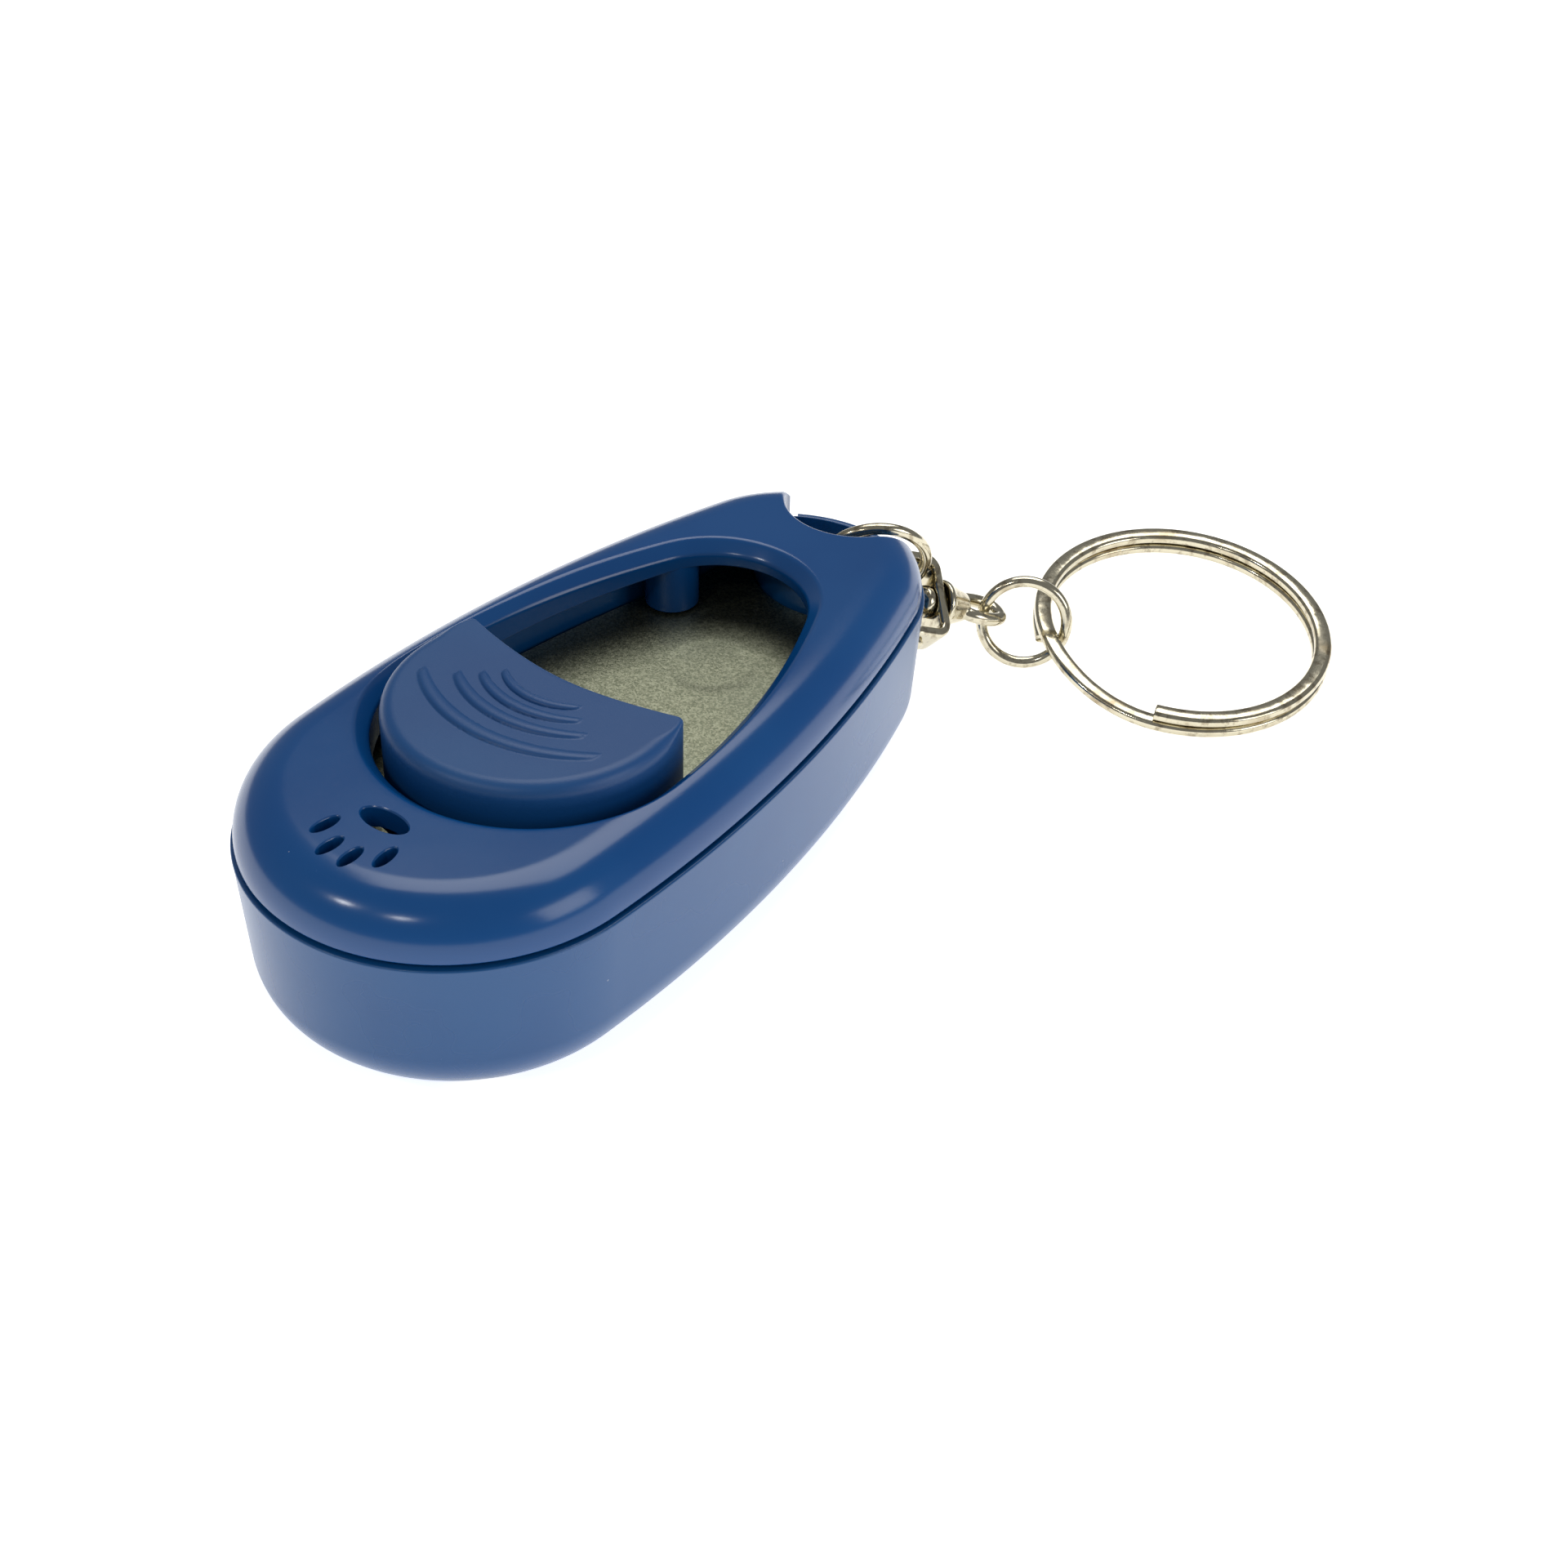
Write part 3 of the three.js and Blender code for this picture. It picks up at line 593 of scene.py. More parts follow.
def egg_depth(egg, x, y):
    """How far inside an egg's outline a place lies: radius less distance from the nearest arc's centre."""
    side_x = np.abs(x) + egg.across
    side_y = y - egg.near_y - egg.up
    turn = np.arctan2(side_y, side_x)
    near = egg.near - np.hypot(x, y - egg.near_y)
    far = egg.far - np.hypot(x, y - egg.far_y)
    side = egg.side - np.hypot(side_x, side_y)
    return np.where(turn < egg.near_turn, near, np.where(turn > egg.far_turn, far, side))


def round_over(depth, radius):
    """How far a rounded edge has dropped at a depth inside it: radius less the circle's height."""
    left = np.clip(radius - depth, 0, radius)
    return radius - np.sqrt(radius**2 - left**2)


def cover_height(flat):
    """The cover's outer height: the top, rounded over at the case's outline and at the notch."""
    x, y = flat[..., 0], flat[..., 1]
    edge = round_over(egg_depth(CASE, x, y) - COVER_INSET, COVER_EDGE)
    notch = round_over(np.hypot(x, y - NOTCH_Y) - NOTCH_RADIUS, NOTCH_ROUND)
    return CASE_TOP - edge - notch


def bevel_height(flat):
    """The height of the window's bevel, carried on above and below."""
    return CASE_TOP - egg_depth(WINDOW, flat[..., 0], flat[..., 1]) * BEVEL_DEPTH / BEVEL_WIDTH


def window_rim(outside, inside):
    """Shares of the way from outside to inside where the bevel meets the cover's top, by halving."""
    low = np.zeros(len(outside))
    high = np.ones(len(outside))
    for _ in range(40):
        middle = (low + high) / 2
        flat = outside + (inside - outside) * middle[:, None]
        above = bevel_height(flat) > cover_height(flat)
        low = np.where(above, middle, low)
        high = np.where(above, high, middle)
    return low


def lifted(flat, height):
    """Flat places with a height."""
    return np.column_stack([flat, np.broadcast_to(height, len(flat))])


def curve_over(before, corner, after, steps):
    """The quadratic curve from before to after that is pulled towards corner."""
    share = np.linspace(0, 1, steps)
    return [(1 - t) ** 2 * before + 2 * t * (1 - t) * corner + t * t * after for t in share]


def cover_top():
    """Rings over the cover's outside, from the top of its straight side to the window's lower edge.

    Ring u lies u * u of the way from the case's outline to the window's rim, at cover_height.
    """
    outside = notched_outline(CASE, COVER_INSET, NOTCH_RADIUS)
    inside = egg_outline(WINDOW, BEVEL_WIDTH)
    rim = outside + (inside - outside) * window_rim(outside, inside)[:, None]
    way = inside - outside
    way /= np.linalg.norm(way, axis=1)[:, None]
    soft = 0.26
    before = rim - way * soft
    after = rim + way * soft
    rings = []
    for share in np.linspace(0, 1, 64):
        flat = outside + (before - outside) * share**2
        rings.append(lifted(flat, cover_height(flat)))
    corner = lifted(rim, cover_height(rim))
    rings.extend(curve_over(rings[-1], corner, lifted(after, bevel_height(after)), 7)[1:])
    foot = lifted(inside, CASE_TOP - BEVEL_DEPTH)
    above = lifted(inside - way * soft, bevel_height(inside - way * soft))
    below = lifted(inside, CASE_TOP - BEVEL_DEPTH - soft)
    rings.extend(curve_over(above, foot, below, 7))
    return rings


def window_skirt():
    """The window's straight wall, its sloping lower edge and the skirt's back, up to the ceiling."""
    rings = []
    far_y = WINDOW.far_y + WINDOW.far - BEVEL_WIDTH
    corner = 0.18
    for angle in quarter(5):
        outline = egg_outline(WINDOW, BEVEL_WIDTH - corner * (1 - math.cos(angle)))
        edge = SKIRT_FAR_HEIGHT + SKIRT_SLOPE * (outline[:, 1] - far_y)
        rings.append(ring(outline, edge + corner * (1 - math.sin(angle))))
    back = egg_outline(WINDOW, BEVEL_WIDTH - SKIRT_WALL)
    back_top = CASE_TOP - COVER_WALL
    rings.append(ring(back, SKIRT_FAR_HEIGHT + SKIRT_SLOPE * (back[:, 1] - far_y)))
    rings.append(ring(back, back_top - 0.3 * (egg_depth(CASE, back[:, 0], back[:, 1]) < COVER_EDGE)))
    return rings


def cover_shell():
    """The cover as one closed skin: outer side, rounded edge, top, window, ceiling, inner side.

    All rings have the same number of points, so each runs round case, notch or window in step.
    """
    pocket = POCKET_RADIUS + POCKET_WALL
    rim_inner = LIP_INSET - FIT_GAP
    lip_clear = LIP_TOP + FIT_GAP
    rings = [ring(notched_outline(CASE, rim_inner, pocket), COVER_BOTTOM)]
    corner = 0.16
    for angle in quarter(5):
        inset = COVER_INSET + corner * (1 - math.sin(angle))
        notch = NOTCH_RADIUS + corner * (1 - math.sin(angle))
        height = COVER_BOTTOM + corner * (1 - math.cos(angle))
        rings.append(ring(notched_outline(CASE, inset, notch), height))
    top = cover_top()
    side = rings[-1]
    for share in (0.1, 0.5, 0.9):
        rings.append(side + (top[0] - side) * share)
    rings.extend(top)
    rings.extend(window_skirt())
    inner = COVER_INSET + COVER_WALL
    rings.append(ring(notched_outline(CASE, inner + 0.6, pocket), CASE_TOP - COVER_WALL - 0.9))
    rings.append(ring(notched_outline(CASE, inner + 0.3, pocket), lip_clear))
    rings.append(ring(notched_outline(CASE, rim_inner, pocket), lip_clear))
    return loft("cover", rings, closed=True)


def oval(x, y, wide, high, lean):
    """An ellipse turned by lean."""
    angle = np.linspace(0, 2 * math.pi, 40, endpoint=False)
    flat = np.stack([wide * np.cos(angle), high * np.sin(angle)], axis=1)
    turn = np.array([[math.cos(lean), math.sin(lean)], [-math.sin(lean), math.cos(lean)]])
    return flat @ turn + (x, y)


def sound_hole(x, y, wide, high, lean):
    """A straight oval hole whose top edge opens with a small chamfer."""
    soft = 0.12
    levels = [
        (0, COVER_BOTTOM),
        (0, CASE_TOP - soft),
        (soft / 2, CASE_TOP - soft / 3),
        (soft * 2, CASE_TOP + soft),
    ]
    rings = [ring(oval(x, y, wide + grow, high + grow, lean), height) for grow, height in levels]
    return loft("tool", rings)


def sound_holes():
    """One pad and four slots that fan out from it."""
    pad_y = NEAR_END + PAD_FROM_NEAR_END
    holes = [sound_hole(0, pad_y, *PAD_RADII, 0)]
    for x, down, lean in ((0.97, 4.3, 0.05), (2.85, 2.85, 0.12)):
        holes.append(sound_hole(x, pad_y - down, *TOE_RADII, lean))
        holes.append(sound_hole(-x, pad_y - down, *TOE_RADII, -lean))
    return holes


def screw_places():
    """Name, x and y of the four case screws."""
    return [
        (f"case_screw_{end}_{side}", sign * SCREW_X[end], SCREW_Y[end])
        for end in ("near", "far")
        for side, sign in (("left", -1), ("right", 1))
    ]


def top_cover():
    """The cover with its sound holes and the four posts that take the screws."""
    cover = combine(cover_shell(), "DIFFERENCE", *sound_holes())
    for name, x, y in screw_places():
        low = FIT_GAP + (PLATE_TOP if "far" in name else TRAY_TOP)
        ceiling = CASE_TOP - COVER_WALL + 0.5
        cover = combine(cover, "UNION", prism(circle_outline(x, y, POST_RADIUS), low, ceiling))
    for name, x, y in screw_places():
        top = SCREW_RECESS + SCREW_LENGTH + FIT_GAP
        bore = prism(circle_outline(x, y, SCREW_RADIUS + TIGHT_GAP, 24), 5, top)
        cover = combine(cover, "DIFFERENCE", bore)
    weigh_normals(cover)
    return finish_piece(cover, "top_cover_shell", SHELL, "case", ["top_cover"])


def tray_inset(height):
    """How far the tray's side has drawn in at a height, from its draft alone."""
    return TRAY_DRAFT * max(0, 1 - height / PARTING)


def tray_levels(offset, top, steps):
    """(inset, height) levels of the tray's rounded bottom edge and its side, moved in by offset."""
    radius = TRAY_EDGE - offset
    levels = []
    for angle in quarter(steps):
        height = offset + radius * (1 - math.cos(angle))
        levels.append((offset + tray_inset(height) + radius * (1 - math.sin(angle)), height))
    for height in np.linspace(levels[-1][1], top, 5)[1:]:
        levels.append((offset + tray_inset(height), height))
    return levels


def tray_shell():
    """The tray as one skin from its underside up its side, over the lip and down into the hollow."""
    corner = 0.16
    outer = tray_levels(0, TRAY_TOP - corner, 26)
    rim = [
        (corner * (1 - math.cos(angle)), TRAY_TOP - corner * (1 - math.sin(angle)))
        for angle in quarter(5)
    ]
    lip_corners = [(0.8, TRAY_TOP), (LIP_INSET, TRAY_TOP), (LIP_INSET, LIP_TOP), (TRAY_WALL, LIP_TOP)]
    lip = rounded_profile(lip_corners, 0.12, 3)
    inner = tray_levels(TRAY_WALL, TRAY_TOP, 12)[::-1]
    levels = [(outer[0][0] + 1.0, 0), *outer, *rim, *lip, *inner]
    return loft("tray", [ring(egg_outline(CASE, inset), height) for inset, height in levels])


def lug_bar():
    """The bar over the pocket's mouth: the far wall carried up between the horns, its top rounded."""
    thick = BAR_INNER - COVER_INSET
    middle = CASE.far - COVER_INSET - thick / 2
    round_top = thick / 2 - 0.05
    section = [(-thick / 2, TRAY_TOP - 0.8), (thick / 2, TRAY_TOP - 0.8)]
    for angle in np.linspace(0, math.pi, 13):
        section.append((thick / 2 * math.cos(angle), BAR_TOP - round_top * (1 - math.sin(angle))))
    section = np.asarray(section)
    reach = math.asin((NOTCH_RADIUS - 0.4) / middle)
    angle = np.linspace(math.pi / 2 - reach, math.pi / 2 + reach, 41)[:, None]
    radius = middle + section[:, 0]
    rings = np.stack([radius * np.cos(angle), CASE.far_y + radius * np.sin(angle),
                      np.broadcast_to(section[:, 1], (41, len(section)))], axis=2)
    return loft("bar", rings)


def pocket_block(radius, inset, low, high):
    """The round ring pocket's outline, kept inside the case's egg moved in by inset."""
    block = prism(circle_outline(0, NOTCH_Y, radius, 96), low, high)
    limit = prism(egg_outline(CASE, inset), low - 1, high + 1)
    return combine(block, "INTERSECT", limit)


def lower_tray():
    """The tray with its bosses, the ring pocket, its mouth and the lug bar."""
    tray = tray_shell()
    for name, x, y in screw_places():
        top = PLATE_TOP - PLATE_THICKNESS - FIT_GAP if "far" in name else TRAY_TOP - TIGHT_GAP
        boss = prism(circle_outline(x, y, BOSS_RADIUS), 1.0, top)
        levels = tray_levels(0.5, 14, 12)
        limit = loft("tool", [ring(egg_outline(CASE, inset), height) for inset, height in levels])
        tray = combine(tray, "UNION", combine(boss, "INTERSECT", limit))
    wall = pocket_block(POCKET_RADIUS + POCKET_WALL, 1.3, 1.5, TRAY_TOP)
    tray = combine(tray, "UNION", wall)
    tray = combine(tray, "DIFFERENCE", pocket_block(POCKET_RADIUS, BAR_INNER, POCKET_FLOOR, 16))
    half = POCKET_HALF_WIDTH
    mouth_outline = rectangle(-half, half, NOTCH_Y - 1, FAR_END + 2)
    mouth = prism(mouth_outline, POCKET_FLOOR + 0.001, BAR_BOTTOM)
    tray = combine(tray, "DIFFERENCE", mouth)
    tray = combine(tray, "UNION", lug_bar())
    for name, x, y in screw_places():
        shank_hole = prism(circle_outline(x, y, SCREW_RADIUS + FIT_GAP, 32), -1, 15)
        tray = combine(tray, "DIFFERENCE", shank_hole)
        recess_top = SCREW_RECESS + SCREW_HEAD_HEIGHT + FIT_GAP
        head_hole = prism(circle_outline(x, y, SCREW_HEAD_RADIUS + FIT_GAP), -1, recess_top)
        tray = combine(tray, "DIFFERENCE", head_hole)
    weigh_normals(tray)
    return finish_piece(tray, "lower_tray", TRAY, "case", ["lower_shell"])


# ---------------------------------------------------------------- click plate and button


def plate_outline():
    """The plate seen from above, as distances from the dimple's centre along even directions.

    The near half follows a round slightly larger than the window's, the rest the tray's inner wall,
    and the pocket's wall is bitten out of the far end.
    """
    centre_y = WINDOW.far_y
    angle = np.linspace(0, 2 * math.pi, 480, endpoint=False)
    way = np.stack([np.cos(angle), np.sin(angle)], axis=1)
    height = PLATE_TOP - PLATE_THICKNESS
    inset = TRAY_WALL + tray_inset(height) + PLATE_GAP

    def reach(x, y, radius, far_side=True):
        start = np.array([0, centre_y]) - (x, y)
        along = way @ start
        inside = along**2 - start @ start + radius**2
        root = np.sqrt(np.maximum(inside, 0))
        found = -along + root if far_side else -along - root
        return np.where((inside > 0) & (found > 0), found, 1e3)

    far_arc = reach(0, CASE.far_y, CASE.far - inset)
    sides = [reach(sign * CASE.across, CASE.near_y + CASE.up, CASE.side - inset) for sign in (-1, 1)]
    near_disc = reach(0, WINDOW.near_y, WINDOW.near + PLATE_OVERLAP)
    pocket = reach(0, NOTCH_Y, POCKET_RADIUS + POCKET_WALL + FIT_GAP, far_side=False)
    upper = np.minimum(np.minimum(far_arc, pocket), np.minimum(*sides))
    far_hit_y = centre_y + np.minimum(*sides) * way[:, 1]
    upper = np.where(far_hit_y < CASE.far_y, np.minimum(np.minimum(*sides), pocket), upper)
    below = np.minimum(near_disc, np.minimum(*sides))
    shoulder = centre_y + upper * way[:, 1] < WINDOW.near_y
    return way, np.where(shoulder, below, upper), centre_y


def click_plate():
    """The plate: rings round the dimple, dished inside it, its edge a little rounded."""
    way, reach, centre_y = plate_outline()
    low = PLATE_TOP - PLATE_THICKNESS
    rings = []

    def level(distance, height):
        flat = way * distance[:, None] + (0, centre_y)
        rings.append(ring(flat, height))

    for share in np.linspace(0.02, 1.25, 22):
        radius = DIMPLE_RADIUS * share
        dish = DIMPLE_DEPTH * (1 - 1 / (1 + math.exp(-(share - 0.85) * 22)))
        level(np.full(len(way), radius), PLATE_TOP - dish)
    edge = 0.12
    start = DIMPLE_RADIUS * 1.25
    for share in np.linspace(0, 1, 9)[1:]:
        level(start + (reach - edge - start) * share, PLATE_TOP)
    for angle in quarter(4):
        level(reach - edge * (1 - math.sin(angle)), PLATE_TOP - edge * (1 - math.cos(angle)))
    level(reach, low + edge)
    level(reach - edge, low)
    level(reach * 0.02, low)
    plate = loft("plate", rings)
    screw_hole = SCREW_RADIUS + FIT_GAP
    stake_hole = STAKE_RADIUS + FIT_GAP
    for x, y, radius in (
        (-SCREW_X["far"], SCREW_Y["far"], screw_hole),
        (SCREW_X["far"], SCREW_Y["far"], screw_hole),
        (-STAKE_X, STAKE_Y, stake_hole),
        (STAKE_X, STAKE_Y, stake_hole),
    ):
        hole = prism(circle_outline(x, y, radius, 32), low - 1, PLATE_TOP + 1)
        plate = combine(plate, "DIFFERENCE", hole)
    return finish_piece(plate, "spring_click_plate", STEEL, "clicker", ["click_plate"])


def button_outline(inset):
    """The button seen from above: a round near side, two rounded corners, a hollow far edge.

    Each corner's centre lies corner inside the round side and corner outside the hollow arc.
    """
    radius = BUTTON_RADIUS
    corner = 0.4
    corner_y = BUTTON_Y - radius + BUTTON_LENGTH
    hollow_y = corner_y + math.sqrt(BUTTON_FAR_RADIUS**2 - radius**2)
    apart = hollow_y - BUTTON_Y
    up = ((radius - corner) ** 2 - (BUTTON_FAR_RADIUS + corner) ** 2 + apart**2) / (2 * apart)
    out = math.sqrt((radius - corner) ** 2 - up**2)
    leave = math.atan2(up, out)
    turn = math.atan2(apart - up, -out)
    enter = math.atan2(up - apart, out)
    half = np.concatenate([
        arc(0, BUTTON_Y, radius - inset, -math.pi / 2, leave, 130),
        arc(out, BUTTON_Y + up, corner - inset, leave, turn, 16),
        arc(0, hollow_y, BUTTON_FAR_RADIUS + inset, enter, -math.pi / 2, 70, last=True),
    ])
    return both_sides(half)


def rib_height(x, y):
    """Height of the four grip ribs at a place: round ridges on arcs, thinner towards their ends."""
    total = np.zeros_like(x)
    for radius, centre_y, half_width, wide in (
        (13.1, 7.2, 8.4, 0.62), (10.2, 6.6, 6.1, 0.56), (8.0, 6.05, 4.7, 0.5), (5.8, 5.3, 3.6, 0.44)
    ):
        away = np.abs(np.hypot(x, y - (BUTTON_Y + centre_y)) - radius)
        along = np.clip(1 - (np.abs(x) / half_width) ** 2, 0, 1)
        width = wide * (0.45 + 0.55 * np.sqrt(along))
        ridge = np.sqrt(np.clip(1 - (away / width) ** 2, 0, 1))
        below = y < BUTTON_Y + centre_y
        total = np.maximum(total, np.where(below, ridge * along**0.3, 0))
    return RIB_HEIGHT * total


def thumb_button():
    """The button: straight side, an edge that rounds over more at the near side, a ribbed top.

    The top runs in straight lines from its rim to one middle point and carries the ribs' height.
    """
    base = PLATE_TOP + FIT_GAP
    rim = button_outline(0)
    soft_edge = 1.1  # rounding at the near side
    crisp_edge = 0.3  # and at the far side
    middle = np.array([0, BUTTON_Y - 2.2])
    inward = middle - rim
    inward = inward / np.linalg.norm(inward, axis=1)[:, None]
    nearness = np.clip((BUTTON_Y + 4.0 - rim[:, 1]) / 3.0, 0, 1)
    edge = crisp_edge + (soft_edge - crisp_edge) * nearness * nearness * (3 - 2 * nearness)
    rings = [ring(rim + inward * 0.15, base), ring(rim, base + 0.15)]
    for height in np.linspace(base + 0.2, BUTTON_TOP - soft_edge - 0.05, 6):
        rings.append(ring(rim, height))
    for angle in quarter(12):
        inset = edge * (1 - math.cos(angle))
        rings.append(ring(rim + inward * inset[:, None], BUTTON_TOP - edge * (1 - math.sin(angle))))
    shoulder = rim + inward * edge[:, None]
    for share in np.linspace(0, 1, 96)[1:-1]:
        flat = shoulder + (middle - shoulder) * share
        rings.append(ring(flat, BUTTON_TOP + rib_height(flat[:, 0], flat[:, 1])))
    button = loft("button", rings, sharp=50)
    inner = rim + inward * BUTTON_WALL
    hollow = loft("tool", [ring(inner, base - 1), ring(inner, BUTTON_TOP - 1.6)])
    button = combine(button, "DIFFERENCE", hollow, sharp=50)
    for x in (-STAKE_X, STAKE_X):
        collar = circle_outline(x, STAKE_Y, STAKE_RADIUS + STAKE_COLLAR, 32)
        boss = prism(collar, base, BUTTON_TOP - 1.2)
        stake = prism(circle_outline(x, STAKE_Y, STAKE_RADIUS, 32), STAKE_BOTTOM, BUTTON_TOP - 1.3)
        button = combine(button, "UNION", boss, stake, sharp=50)
    name = "ribbed_thumb_button"
    return finish_piece(button, name, BUTTON, "clicker", ["thumb_button"])


def push_nut(name, x):
    """A dished spring nut pushed on a stake under the plate: a closed ring of a bent strip."""
    inner = STAKE_RADIUS + TIGHT_GAP
    outer = inner + NUT_WIDTH
    top = PLATE_TOP - PLATE_THICKNESS - FIT_GAP
    bottom = top - NUT_THICKNESS
    dish = 0.3
    flat = outer - 0.6
    bore_middle = (inner, top - 0.55)
    corners = [
        bore_middle,
        (inner, bottom - dish),
        (flat, bottom),
        (outer, bottom),
        (outer, top),
        (flat, top),
        (inner, top - dish),
        bore_middle,
    ]
    profile = rounded_profile(corners, 0.08, 3)
    angle = np.linspace(0, 2 * math.pi, 64, endpoint=False)[:, None]
    profile = np.asarray(profile)[:-1]
    rings = np.stack([x + profile[:, 0] * np.cos(angle), STAKE_Y + profile[:, 0] * np.sin(angle),
                      np.broadcast_to(profile[:, 1], (64, len(profile)))], axis=2)
    nut = loft("nut", rings, closed=True)
    return finish_piece(nut, name + "_spring", STEEL, "clicker", [name])


def case_screw(name, x, y):
    """A pan-head screw seen from below, head down, with a cross cut into its head."""
    base = SCREW_RECESS
    dome = 0.63
    tip = 1.2
    edge = [
        (SCREW_HEAD_RADIUS - dome * (1 - math.sin(angle)), dome * (1 - math.cos(angle)))
        for angle in quarter(6)
    ]
    profile = [
        (0, 0),
        (1.2, 0),
        *edge,
        (SCREW_HEAD_RADIUS, SCREW_HEAD_HEIGHT),
        (SCREW_RADIUS, SCREW_HEAD_HEIGHT),
        (SCREW_RADIUS, SCREW_LENGTH - tip),
        (0.3, SCREW_LENGTH),
        (0, SCREW_LENGTH),
    ]
    screw = revolve("screw", [(radius, height + base) for radius, height in profile], (x, y, 0))
    half = 1.26
    wide = 0.28
    for a, b in ((half, wide), (wide, half)):
        bar = rectangle(x - a, x + a, y - b, y + b)
        screw = combine(screw, "DIFFERENCE", prism(bar, base - 1, base + 0.8))
    return finish_piece(screw, name + "_zinc", ZINC, "case", [name])


# ---------------------------------------------------------------- key chain

JOINTS = {joint["name"]: joint for joint in frame["joints"]}
LUG_WIRE = 1.0
LUG_RADIUS = 4.4
LINK_WIRE = 1.0
LINK_RADIUS = 3.65
SLIT = 0.2
YOKE_SPREAD = 7.0
YOKE_REACH = 2.8
YOKE_WIDTH = 3.2
YOKE_SHEET = 0.9
PIN_RADIUS = 0.5
STEM_RADIUS = 0.8
EYE_WIRE = 1.2
EYE_REACH = 7.0
SPLIT_RADIUS = 13.0
SPLIT_WIDE = 1.5
SPLIT_HIGH = 1.0
SPLIT_PITCH = 1.12
STEP_START = -134  # degrees round the split ring, where the wire starts to step down
STEP_END = -70  # where it has reached the lower turn
LUG_SLIT = 2.2  # where a jump ring's ends meet, in radians round it
LINK_SLIT = -0.6
PIN_HEAD_RADIUS = PIN_RADIUS + 0.35
PIN_HEAD_HEIGHT = 0.55
ARM_PAST_PIN = 0.9


def unit(vector):
    """A vector of length 1."""
    vector = np.asarray(vector, float)
    return vector / np.linalg.norm(vector)


def frame_of(origin, z_way, x_lean):
    """A place in the chain: its origin, and its x, y and z directions as rows."""
    z = unit(z_way)
    x = unit(np.asarray(x_lean, float) - z * np.dot(x_lean, z))
    return np.asarray(origin, float), np.array([x, np.cross(z, x), z])


def set_in(local, points):
    """Points of a piece's own frame, set in the part's frame."""
    origin, ways = local
    return np.asarray(points) @ ways + origin


def ring_frame(node):
    """A wire ring's centre and its axis, the direction along which its CAD points spread least."""
    mesh = frame["nodes"][node].data
    points = np.empty(len(mesh.vertices) * 3)
    mesh.vertices.foreach_get("co", points)
    points = points.reshape(-1, 3) / MM
    low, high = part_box(node)
    spread = np.linalg.svd(points - points.mean(0), full_matrices=False)[2]
    axis = spread[2] * (1 if spread[2][2] > 0 else -1)
    return frame_of(np.array((low + high) / 2) / MM, axis, (1, 0, 0))


def swivel_frame():
    """The swivel's frame: its x runs from the pin to the eye and its z along the pin."""
    swing = JOINTS["yoke_swing"]
    return frame_of(np.array(swing["pos_m"]) / MM, swing["axis"], JOINTS["eye_spin"]["axis"])


def eye_frame():
    """The swivel's frame turned about its x until y runs along the eye's end wire."""
    origin, ways = swivel_frame()
    x = ways[0]
    end_wire = np.array(JOINTS["link_swing"]["axis"], float)
    return frame_of(origin, np.cross(x, end_wire), x)


def sweep(path, across, up, section):
    """A section of (a, b) points carried along a path: path + a * across + b * up."""
    a = section[:, 0][None, :, None]
    b = section[:, 1][None, :, None]
    return path[:, None, :] + a * across[:, None, :] + b * up[:, None, :]


def oval_section(wide, high, count=28, square=2.0):
    """A superellipse: |a / wide|^square + |b / high|^square = 1."""
    angle = np.linspace(0, 2 * math.pi, count, endpoint=False)
    cos = np.cos(angle)
    sin = np.sin(angle)
    power = 2 / square
    across = wide * np.sign(cos) * np.abs(cos) ** power
    up = high * np.sign(sin) * np.abs(sin) ** power
    return np.stack([across, up], axis=1)


def with_cut_ends(rings, path):
    """Closes a sweep's two ends with a narrow chamfer before the flat end face."""
    first = path[0] + (rings[0] - path[0]) * 0.86
    last = path[-1] + (rings[-1] - path[-1]) * 0.86
    start = rings[0] + (path[1] - path[0]) * 0.25
    end = rings[-1] + (path[-2] - path[-1]) * 0.25
    return np.concatenate([[first], [start], rings[1:-1], [end], [last]])


def jump_ring(name, node, body, radius, wire, slit_angle):
    """A round wire bent to a circle, its two cut ends facing each other across a fine slit."""
    local = ring_frame(node)
    half_slit = SLIT / 2 / radius
    turn = slit_angle + np.linspace(half_slit, 2 * math.pi - half_slit, 193)
    across = np.stack([np.cos(turn), np.sin(turn), 0 * turn], axis=1)
    up = np.broadcast_to([0.0, 0.0, 1.0], across.shape)
    path = across * radius
    rings = sweep(path, across, up, oval_section(wire / 2, wire / 2))
    wire_ring = loft("ring", set_in(local, with_cut_ends(rings, path)), sharp=50)
    return finish_piece(wire_ring, name, NICKEL, body, [node])


def split_ring():
    """A flattened wire that goes round nearly twice and steps down by one wire between its ends."""
    local = ring_frame("split_ring")
    radius = SPLIT_RADIUS - SPLIT_WIDE / 2
    step_start = math.radians(STEP_START)
    step_end = math.radians(STEP_END)
    turn = 2 * math.pi
    angle = np.linspace(step_end, step_start + 2 * turn, 521)
    share = np.clip((angle - step_start - turn) / (step_end - step_start), 0, 1)
    height = SPLIT_PITCH * (0.5 - share * share * (3 - 2 * share))
    across = np.stack([np.cos(angle), np.sin(angle), 0 * angle], axis=1)
    path = across * radius + np.stack([0 * height, 0 * height, height], axis=1)
    up = np.broadcast_to([0.0, 0.0, 1.0], across.shape)
    rings = sweep(path, across, up, oval_section(SPLIT_WIDE / 2, SPLIT_HIGH / 2, 32, 2.7))
    key_ring = loft("ring", set_in(local, with_cut_ends(rings, path)), sharp=50)
    return finish_piece(key_ring, "split_key_ring", NICKEL, "split_ring", ["split_ring"])


